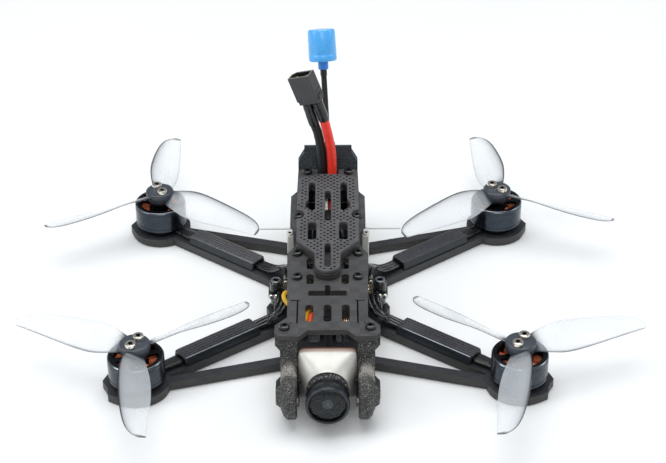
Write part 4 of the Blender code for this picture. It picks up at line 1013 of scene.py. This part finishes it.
for corner, (sx, sy, *_) in CORNERS.items():
	cover = Shape()
	span = [COVER_SPAN[0], COVER_SPAN[0] + 0.3]
	span += [COVER_SPAN[0] + 0.3 + 29.9 * k / 12 for k in range(1, 13)] + [COVER_SPAN[1]]
	rings = []
	for k, s in enumerate(span):
		shrink = 0.94 if k in (0, len(span) - 1) else 1
		line = [(o * shrink, ARM_TOP + (z - ARM_TOP) * shrink) for o, z in cover_line]
		rings.append([along_arm(sx, sy, s, o, z) for o, z in line])
	cover.loft(rings, 0)
	# Faces below the top, the sides and feet, take the darker finish: painted shade.
	for face in cover.bm.faces:
		if face.calc_center_median().z / MM < 5.75:
			face.material_index = 1
	# A thin strip of the bright rim metal along one top edge of the cover: a painted highlight.
	half = [(2.9, 5.95), (3.1, 5.88), (3.17, 5.98), (2.95, 6.12)]
	line = [[along_arm(sx, sy, s, -sx * o, z) for o, z in half] for s in (span[1], span[-2])]
	cover.loft(line, 2)
	cover.piece(
		"wire_guard_" + corner, [COVER, COVER_SIDE_SHADE, RIM_METAL_AND_HIGHLIGHT], "cover_plastic", ["wire_cover_" + corner]
	)
	strip = Shape()
	rings = []
	for k in range(61):
		s = 33 + 28.5 * k / 60
		bulge = 0.1 if k % 2 else 0
		corners = [(3.3, 5.55), (3.62 + bulge, 4), (3.72 + bulge, 4.1 + bulge)]
		corners.append((3.34 + bulge, 5.75 + bulge))
		rings.append([along_arm(sx, sy, s, sx * o, z) for o, z in corners])
	strip.loft(rings, 0)
	strip.piece("arm_strip_" + corner, [STRIP], "cover_plastic", sharp=20)

	wires = Shape()
	line = [along_arm(sx, sy, s, 0, WIRE_Z) for s in (70.6, 62, 50, 40, 31)]
	if sy < 0:
		bend = [(20, -16.6, 5.1), (17.4, -17.4, 7.7), (15.8, -16.2, 10.5), (15.1, -13.2, 11.2)]
		bend.append((15, -10.6, 11.2))
	else:
		bend = [(19.6, 14.6, 5.2), (16.4, 11.4, 7.8), (14.4, 8, 10.3), (13.6, 4.6, 11)]
		bend.append((13.2, 1.4, 11))
	curved = smooth_path([line[-1]] + [(sx * x, y, z) for x, y, z in bend], 1.6)
	middle_line = line[:-1] + curved
	for lane in (-1, 0, 1):
		route = []
		for k, point in enumerate(middle_line):
			ahead = middle_line[min(k + 1, len(middle_line) - 1)] - middle_line[max(k - 1, 0)]
			sideways = Vector((-ahead.y, ahead.x, 0)).normalized()
			share = max(0, k - len(line) + 1) / len(curved)
			weave = 0.12 * sin(share * 5 + lane) * (share > 0)
			reach = lane * (1.35 + min(0.28, share))
			outward = Vector((sx * min(0.4, share), 0, 0))
			route.append(point + sideways * reach + outward + Vector((0, 0, weave)))
		wires.tube(route, lambda t: 0.7 + 0.12 * min(1, max(0, t * 8 - 1.2)), 0, 14)
		tail = route[-1] + (route[-1] - route[-2]).normalized() * 1.1
		wires.tube([route[-1], tail], 0.62, 1, 12)
	wires.piece(
		"phase_wires_" + corner, [SLEEVE, SOLDER], "wire_sleeve", ["motor_wires_" + corner], sharp=60
	)
	wrap = Shape()
	rings = []
	for k in range(10):
		s = 62.9 + 0.62 * k
		wide = 2.5 - 0.4 * (k / 9) ** 2 - (0.25 if k in (0, 9) else 0)
		thick = 0.85 - (0.15 if k in (0, 9) else 0)
		ring = []
		for j in range(20):
			a = radians(18 * j)
			o = copysign(abs(cos(a)) ** 0.55, cos(a)) * wide
			up = copysign(abs(sin(a)) ** 0.75, sin(a)) * thick
			ring.append(along_arm(sx, sy, s, o, WIRE_Z + up + 0.06 * sin(o * 4)))
		rings.append(ring)
	wrap.loft(rings, 0)
	wrap.piece("wire_wrap_" + corner, [SHRINK], "wire_sleeve")


# ---- motors and propellers
HUB_TOP = 18.5
SCREW_PITCH_R = 2.5


def eased(table, r):
	"""The table's value at r, on a curve without corners."""
	if r <= table[0][0]:
		return table[0][1]
	for k, ((r0, v0), (r1, v1)) in enumerate(zip(table, table[1:])):
		if r <= r1:
			before = table[k - 1] if k else (r0, v0)
			after = table[k + 2] if k + 2 < len(table) else (r1, v1)
			width = r1 - r0
			m0 = (v1 - before[1]) / max(r1 - before[0], 1e-6) * width
			m1 = (after[1] - v0) / max(after[0] - r0, 1e-6) * width
			t = (r - r0) / width
			a, b = 2 * t**3 - 3 * t**2 + 1, t**3 - 2 * t**2 + t
			return v0 * a + m0 * b + v1 * (1 - a) + m1 * (t**3 - t**2)
	return table[-1][1]


LEADING = [(4, 2.9), (8, 3.9), (14, 4.7), (22, 4.8), (30, 4.3), (37, 3.3),
	(41.5, 1.9), (43.8, 0.2), (45, -1.6)]
TRAILING = [(4, -2.9), (8, -3.9), (14, -5), (22, -5.4), (30, -5.2), (45, -4.2)]
PITCH = [(4, 24), (8, 28), (14, 31), (18, 29), (26, 22), (34, 17), (45, 12)]
MIDLINE = [(4, 16.4), (12, 16.5), (30, 16.1), (45, 15.7)]
THICK = [(4, 1.5), (10, 1.2), (25, 0.85), (45, 0.55)]
SHARES = [0, 0.025, 0.08, 0.2, 0.38, 0.58, 0.78, 0.92, 0.975, 1]


# How dark the painted shade on the leading and trailing rims of each blade looks
EDGE_SHADE = {corner: [(1, 0.3)] * 3 for corner in CORNERS}
EDGE_SHADE["fr"] = [(0.9, 0.5), (0.12, 0.8), (1, 0.2)]
EDGE_SHADE["fl"] = [(0.12, 0.8), (0.9, 0.5), (1, 0.2)]
# How much of a rim's painted shade each place across the chord takes, from the leading to the trailing edge.
EDGE_SHADE_ACROSS = [1, 0.9, 0.42, 0.2, 0.06, 0, 0, 0.1, 0.7, 1]


def build_blades(shape, sense, edge_shade):
	"""Three thin twisted blades; edge marks their painted dark rims and root where they turn solid."""
	edge = shape.bm.verts.layers.float.new("edge")
	root = shape.bm.verts.layers.float.new("root")
	stations = [4.4, 5.2, 6.2, 7.4, 9, 11] + [13 + 2 * k for k in range(14)]
	stations += [40.6, 42, 43.1, 43.9, 44.5, 44.85]
	for k in range(3):
		spin = turn(120 * k)
		rings = []
		for r in stations:
			lead, trail = eased(LEADING, r), eased(TRAILING, r)
			slope = tan(radians(eased(PITCH, r)))
			middle, thick = eased(MIDLINE, r), eased(THICK, r)
			ring = []
			top = [(t, 0.62 * sin(pi * t**0.72)) for t in SHARES]
			below = [(t, -0.36 * sin(pi * t**0.7)) for t in reversed(SHARES[1:-1])]
			for share, up in top + below:
				across = lead + (trail - lead) * share
				spot = Vector((r, sense * across, middle + across * slope + up * thick))
				ring.append(spin @ spot)
			rings.append(ring)
		rows = shape.loft(rings, 0)
		marks = [m * edge_shade[k][t > 0.5] for m, t in zip(EDGE_SHADE_ACROSS, SHARES)]
		marks += marks[-2:0:-1]
		for r, row in zip(stations, rows):
			for vert, mark in zip(row, marks):
				# The tip takes the leading rim's painted shade.
				vert[edge] = 0.8 * edge_shade[k][0] if r > 44.4 else mark
				vert[root] = max(0, min(1, (9.5 - r) / 4.5)) ** 1.5
	return root


def build_hub(shape):
	profile = [(0.05, HUB_TOP), (1, HUB_TOP), (4.5, HUB_TOP), (4.9, 18.38), (5.08, 18.1),
		(5.1, 17.7), (5.1, 15.6), (4.7, 15.1), (4.2, 14.2), (3.9, 13.9), (0.05, 13.9)]
	return shape.turned(profile, 1, 56)


def hub_finish(name):
	"""Moulded dark plastic with a faint swirl of the filler."""
	made = Look(name, Coat_Weight=0.15)
	swirl = made.noise(0.5, 4)
	made.color(made.shade(srgb(60, 66, 76), swirl, 0.88, 1.1))
	made.rough(swirl, 0.3, 0.42)
	made.relief(made.noise(2.2, 2), 0.02)
	return made.mat


HUB = hub_finish("propeller_hub")


def build_bell():
	bell = Shape()
	shell = [(7.5, 12.25), (7.5, 13.45), (7.62, 13.6), (8.95, 13.6), (9.05, 13.56), (9.36, 13.2),
		(9.4, 13.1), (9.4, 12.5), (9.3, 12.4), (9.3, 12.2), (9.4, 12.1), (9.4, 6.7),
		(9.28, 6.6), (9.28, 6.35), (9.4, 6.25), (9.4, 5.3), (9.15, 5), (8.5, 5),
		(8.4, 5.2), (8.4, 11.9)]
	kinds = [2, 2, 2, 1, 1, 1, 0, 0, 0, 0, 0, 0, 0, 2, 0, 1, 2, 2, 2, 2]
	bell.turned(shell, kinds, 72, loop=True)
	for k in range(14):
		angle = 360 / 14 * k
		bell.box((7.85, -1.35, 5.3), (8.45, 1.35, 11.6), 0.12, 3, turn(angle))
	boss = [(0.05, 13.5), (2, 13.5), (3.6, 13.5), (3.85, 13.3), (3.9, 12.6), (3.3, 12.2), (0.05, 12.2)]
	bell.turned(boss, 2, 40)
	for k in range(4):
		rings = []
		for r, half, drop in ((3.2, 1.45, 0), (4.6, 1.05, 0.1), (6.2, 1, 0.1), (7.9, 1.5, 0)):
			low, high = 12.3 + drop * 0.5, 13.45 - drop
			corners = ((-half, low), (half, low), (half, high - 0.15), (half - 0.2, high))
			corners += ((-half + 0.2, high), (-half, high - 0.15))
			rings.append([turn(45 + 90 * k) @ Vector((r, o, z)) for o, z in corners])
		bell.loft(rings, 2)
	bell.turned([(0.05, 3.4), (0.8, 3.4), (0.8, 12.6), (0.05, 12.6)], 1, 20)
	return bell


def build_stator():
	core = Shape()
	teeth = 9
	pitch = 360 / teeth
	outline = []
	for k in range(teeth):
		middle = pitch * k
		for off, r in ((-16, 4), (-6.5, 4.3), (-6, 6.9), (-15, 7.25), (-16, 7.7)):
			outline.append(on_circle(r, middle + off))
		outline += [on_circle(7.75, middle + off) for off in (-8, 0, 8)]
		for off, r in ((16, 7.7), (15, 7.25), (6, 6.9), (6.5, 4.3)):
			outline.append(on_circle(r, middle + off))
	core.slab([(p.x, p.y) for p in outline], 6.3, 11.2, 0, 0)
	for k in range(teeth):
		frame_turn = turn(pitch * k)
		for j in range(6):
			r = 4.55 + 0.46 * j
			wide, tall = 0.85 + 0.13 * j, 2.75 + 0.04 * sin(j * 2 + k)
			loop = []
			for s in range(16):
				a = radians(22.5 * s)
				c, w = cos(a), sin(a)
				o = copysign(abs(c) ** 0.5, c) * wide
				z = 8.75 + copysign(abs(w) ** 0.5, w) * tall
				loop.append(frame_turn @ Vector((r, o, z)))
			core.tube(loop, 0.24, 1, 6, True)
	return core


def build_base():
	"""A scalloped foot plate with the bearing tube and four screws."""
	base = Shape()
	scallop = knurl(4, 0.035)
	plate = [(0.05, 3.3), (7.9, 3.3, scallop), (8.1, 3.5, scallop), (8.1, 4.4, scallop),
		(7.8, 4.7, scallop), (4.6, 4.7), (4.3, 5.2), (3.1, 5.5),
		(2.9, 5.9), (2.9, 11.8), (2.7, 12), (1.3, 12)]
	base.turned(plate + [(1.2, 11.6), (1.2, 4), (0.05, 4)], 0, 48, caps=False)
	for k in range(4):
		base.screw(at(*on_circle(5.9, 45 + 90 * k, 4.68)), 1.1, 0.3, 0.4, (1, 2), 0.1)
	return base


for corner, (sx, sy, sense, blade_angle, screw_angle) in CORNERS.items():
	axis = at(sx * MOTOR_X, sy * MOTOR_Y)
	body = "rotor_" + corner
	build_base().piece(
		"motor_foot_" + corner,
		[BELL_DARK, DARK_STEEL, SOCKET_SHADOW],
		"anodised_gunmetal",
		["motor_base_" + corner],
		axis,
	)
	build_stator().piece(
		"windings_" + corner, [CORE, COPPER], "copper_winding", ["stator_" + corner], axis
	)
	build_bell().piece(
		"motor_bell_" + corner,
		[BELL, RIM_METAL_AND_HIGHLIGHT, BELL_DARK, MAGNET],
		"anodised_gunmetal",
		["bell_" + corner],
		axis,
		spin=screw_angle, body=body,
	)
	prop = Shape()
	root = build_blades(prop, sense, EDGE_SHADE[corner])
	for row in build_hub(prop):
		for vert in row:
			vert[root] = 1
	prop.piece(
		"blades_" + corner,
		[BLADE, HUB],
		"smoked_polycarbonate",
		["propeller_" + corner],
		axis,
		sharp=50,
		spin=blade_angle, body=body,
	)
	for tag, way in (("a", 1), ("b", -1)):
		bolt = Shape()
		bolt.screw(turn(20), 1.85, 1.35, 4, (0, 1), 0.3)
		bolt.piece(
			"prop_bolt_%s_%s" % (tag, corner),
			[STEEL, SOCKET_SHADOW],
			"screw_steel",
			["prop_screw_%s_%s" % (tag, corner)],
			axis @ turn(screw_angle) @ at(way * SCREW_PITCH_R, 0, HUB_TOP + 0.05), body=body,
		)

# ---- camera
PIVOT_Y, PIVOT_Z, TILT = -61, 12.1, -1.5
on_camera = {"pose": at(0, PIVOT_Y, PIVOT_Z) @ turn(TILT, "X"), "body": "camera"}


def squared(half, power, y, count=72):
	"""A ring at y, square for a high power and round for two."""
	ring = []
	for k in range(count):
		a = 2 * pi * (k + 0.5) / count
		c, s = cos(a), sin(a)
		x = copysign(abs(c) ** (2 / power), c) * half
		z = copysign(abs(s) ** (2 / power), s) * half
		ring.append(Vector((x, y, z)))
	return ring


case = Shape()
stations = [(8.4, 14, 5.6), (9.2, 14, 5.6), (9.4, 14, 5.3), (9.4, 14, 4.75), (9.28, 14, 4.7),
	(9.28, 14, 4.55), (9.38, 14, 4.45), (9.38, 14, 2.9), (9.3, 11, 2.4), (9.12, 8.5, 1.8),
	(8.9, 6.8, 1.1), (8.62, 5.4, 0.3), (8.3, 4.3, -0.6), (7.95, 3.4, -1.6), (7.62, 2.75, -2.7),
	(7.35, 2.3, -3.8), (7.15, 2.05, -4.8), (7, 2, -5.2), (6.2, 2, -5.2)]
bands = [2, 1, 1, 1, 1, 1, 3] + [0] * 11
case.loft([squared(*s) for s in stations], bands)
case.box((-2.6, 5.5, -1.1), (3.4, 7.4, 1.1), 0.25, 2)
for x in (-6.6, 6.6):
	for z in (-6.6, 6.6):
		case.screw(at(x, 5.3, z) @ turn(-90, "X"), 1.1, 0.3, 0.3, (2, 2), 0.1)
case.piece(
	"camera_case",
	[HOUSING, LIP, DARK_STEEL, BAND],
	"anodised_housing",
	["camera_housing"],
	sharp=40, **on_camera,
)

forward = turn(90, "X")
grip = knurl(44, 0.022)
barrel = Shape()
outer = [(6.3, 5), (6.78, 5.1), (6.8, 5.9), (6.72, 6), (6.9, 6.15, grip), (6.9, 7.7, grip),
	(6.72, 7.9), (6.5, 8.1), (6.45, 9.4), (6.55, 9.9), (7, 11.8), (7.05, 12.2), (7.05, 13.6),
	(6.98, 13.95), (6.78, 14.2), (6.3, 14.2), (6.1, 14), (6, 12.6)]
kinds = [0, 0, 0, 1, 1, 1, 0, 0, 0, 0, 0, 2, 2, 2, 2, 0, 0]
barrel.turned(outer, kinds, 176, forward, caps=False)
barrel.piece("lens_ring", [BARREL, KNURL, BARREL_RIM], "lens_barrel_black", ["lens_barrel"], **on_camera)
inside_rings = Shape()
profile = [(6.2, 12.9), (5.4, 12.6), (5.4, 12.2), (4.4, 11.9), (4.4, 11.5), (3.2, 11.3), (3.2, 10.9),
	(2.3, 10.8), (2, 11.3), (1.5, 11.5), (0.9, 11.45), (0.05, 11.6)]
inside_rings.turned(profile, 0, 64, forward)
inside_rings.piece("lens_rings", [RINGS], "lens_barrel_black", **on_camera)
dome = Shape()
profile = [(5.95, 12.75), (5.95, 13.1)]
for k in range(1, 13):
	spot = on_circle(1, 90 * k / 12)
	profile.append((max(0.03, 5.95 * spot.x), 13.1 + 1.5 * spot.y))
dome.turned(profile, 0, 64, forward)
dome.piece("front_lens", [GLASS], "coated_glass", ["lens_glass"], sharp=60, **on_camera)
for side_name, sign in (("left", 1), ("right", -1)):
	bolt = Shape()
	lay = at(sign * 13.7, 0, 0) @ turn(90 * sign, "Y")
	bolt.screw(lay, 1.85, 1.25, 5.8, (0, 1), 0.35)
	bolt.piece(
		"tilt_bolt_" + side_name,
		[STEEL, SOCKET_SHADOW],
		"screw_steel",
		["camera_screw_" + side_name],
		**on_camera,
	)

# ---- video antenna
ANTENNA = at(0.3, 48.6, 31) @ turn(-22, "X") @ turn(-3, "Y")
stalk = Shape()
profile = [(0.05, -0.6), (1.05, -0.6), (1.05, 7.6), (1.3, 7.9), (1.3, 12.4), (1.05, 12.8),
	(1.05, 31), (1.25, 31.3), (1.25, 36.1), (0.05, 36.3)]
stalk.turned(profile, [0, 0, 1, 1, 1, 0, 1, 1, 1], 24)
stalk.piece("antenna_stalk", [COAX, SHRINK], "coax_jacket", ["antenna_tube"], ANTENNA)
cap = Shape()
profile = [(1.35, 36.6), (1.35, 33.6), (1.7, 33.5), (1.85, 33.7), (1.85, 36.2), (2.1, 36.45),
	(4.5, 36.5), (4.9, 36.65), (5.14, 37.1), (5.13, 38.9), (5.07, 39), (5.07, 39.2),
	(5.11, 39.3), (4.98, 47.2), (4.86, 47.7), (4.5, 48.05), (4, 48.1), (0.05, 48.1)]
cap.turned(profile, [1] * 6 + [0] * 11, 56, None, False)
cap.piece("antenna_top", [BLUE, NECK_BLUE], "blue_abs", ["antenna_cap"], ANTENNA)

# ---- wires between the plates
LOOSE = [
	("yellow_front", YELLOW, 0.95, [
		(-5, -33.6, 22.6), (-5.6, -36, 23.4), (-6.6, -38.4, 23.8), (-7.2, -41, 23.4),
		(-7.8, -44.6, 22.4),
	]),
	("orange_front", ORANGE, 0.95, [
		(-4.2, -37.6, 22), (-4.9, -39.8, 23.2), (-5.6, -42.4, 23.6), (-5.9, -45.2, 23.2),
		(-6.6, -47.8, 22.4),
	]),
	("yellow_stack", YELLOW, 0.8, [
		(-13, -10.4, 12), (-14.8, -12.4, 13.2), (-15.2, -14.8, 12.8), (-13.8, -17.2, 11.9),
		(-11.2, -19, 11),
	]),
	("camera_cable", PIT_SHADE_AND_CABLE_RUBBER, 1.3, [
		(0.4, -49.4, 12.6), (0.4, -47.6, 13.2), (0.2, -43, 14), (0, -34, 15.6),
		(0, -25, 16.8), (0, -17, 13.6),
	]),
	("camera_wire", SLEEVE, 0.45, [
		(4.9, -49.4, 12.2), (4.9, -47.6, 12.2), (4.9, -44, 11), (4.9, -36, 10.6),
		(3, -26, 10.6),
	]),
]
for name, mat, radius, knots in LOOSE:
	wire = Shape()
	wire.tube(smooth_path(knots, 1.2), radius, 0, 14)
	wire.piece("inner_" + name, [mat], "wire_sleeve", sharp=60)
inner = Shape()
inner.box((4.9, -43.2, 21.3), (7.4, -39, 22.6), 0.2, 0)
for k in range(3):
	inner.box((5.2 + 0.8 * k, -42.8, 22.5), (5.6 + 0.8 * k, -40, 22.8), 0.05, 1)
inner.box((-2.2, -48, 21.4), (2.2, -40, 22.6), 0.3, 2)
for k in range(3):
	inner.box((-1.6, -46.6 + 2.2 * k, 22.5), (1.6, -45.6 + 2.2 * k, 23), 0.12, 2)
inner.box((-1.15, 21.5, 25.1), (-0.03, 36.5, 26.1), 0.2, 3)
inner.box((0.1, 21.5, 25.1), (1.2, 36.5, 26.1), 0.2, 4)
inner.box((-1.15, 15.4, 25), (1.2, 21.3, 26), 0.2, 2)
inner.piece("inner_parts", [PAD_GOLD, SOLDER, CHIP, WHITE, MAROON], "circuit_board")

# A nut low on each mount's inner face
for side_name, sign in (("left", 1), ("right", -1)):
	nut = Shape()
	profile = [(0.05, 0.9), (1.5, 0.9, hexagon), (1.6, 0.75, hexagon), (1.6, -0.3, hexagon)]
	nut.turned(profile + [(0.05, -0.3)], 0, 36)
	lay = at(sign * 9.9, -67, 8) @ turn(-90 * sign, "Y")
	nut.piece("mount_nut_" + side_name, [DARK_STEEL], "screw_steel", pose=lay)

# ---- floor and light
bpy.ops.mesh.primitive_plane_add(size=6, location=(0, 0, -0.0003))
floor = bpy.context.object
floor.name = "floor"
ground = Look("floor_paper", Specular_IOR_Level=0.1)
ground.color(ground.shade(srgb(247, 249, 250), ground.noise(0.01, 2), 0.99, 1.01))
ground.rough(ground.noise(0.05, 2), 0.8, 0.9)
floor.data.materials.append(ground.mat)
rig.stage(floor)

world = bpy.data.worlds.new("studio")
bpy.context.scene.world = world
world.use_nodes = True
sky = world.node_tree.nodes["Background"]
sky.inputs["Color"].default_value = (0.93, 0.97, 1, 1)
sky.inputs["Strength"].default_value = 0.3


def soft_light(name, where, size, power):
	lamp = bpy.data.lights.new(name, "AREA")
	lamp.shape = "RECTANGLE"
	lamp.size, lamp.size_y = size
	lamp.energy = power
	obj = bpy.data.objects.new(name, lamp)
	link(obj)
	obj.location = Vector(where)
	obj.rotation_euler = (-Vector(where)).to_track_quat("-Z", "Y").to_euler()


soft_light("overhead", (-0.05, 0.1, 0.9), (1, 0.8), 6.6)
soft_light("left_panel", (-0.7, -0.2, 0.45), (0.3, 0.4), 1.6)
soft_light("right_panel", (0.75, 0.1, 0.4), (0.3, 0.4), 1.2)
soft_light("front_panel", (0.1, -0.75, 0.55), (0.5, 0.25), 1.2)

new_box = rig.bounds()
with open("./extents.json", "w") as out:
	json.dump({"cad": [list(v) for v in cad_box], "visual": [list(v) for v in new_box]}, out)
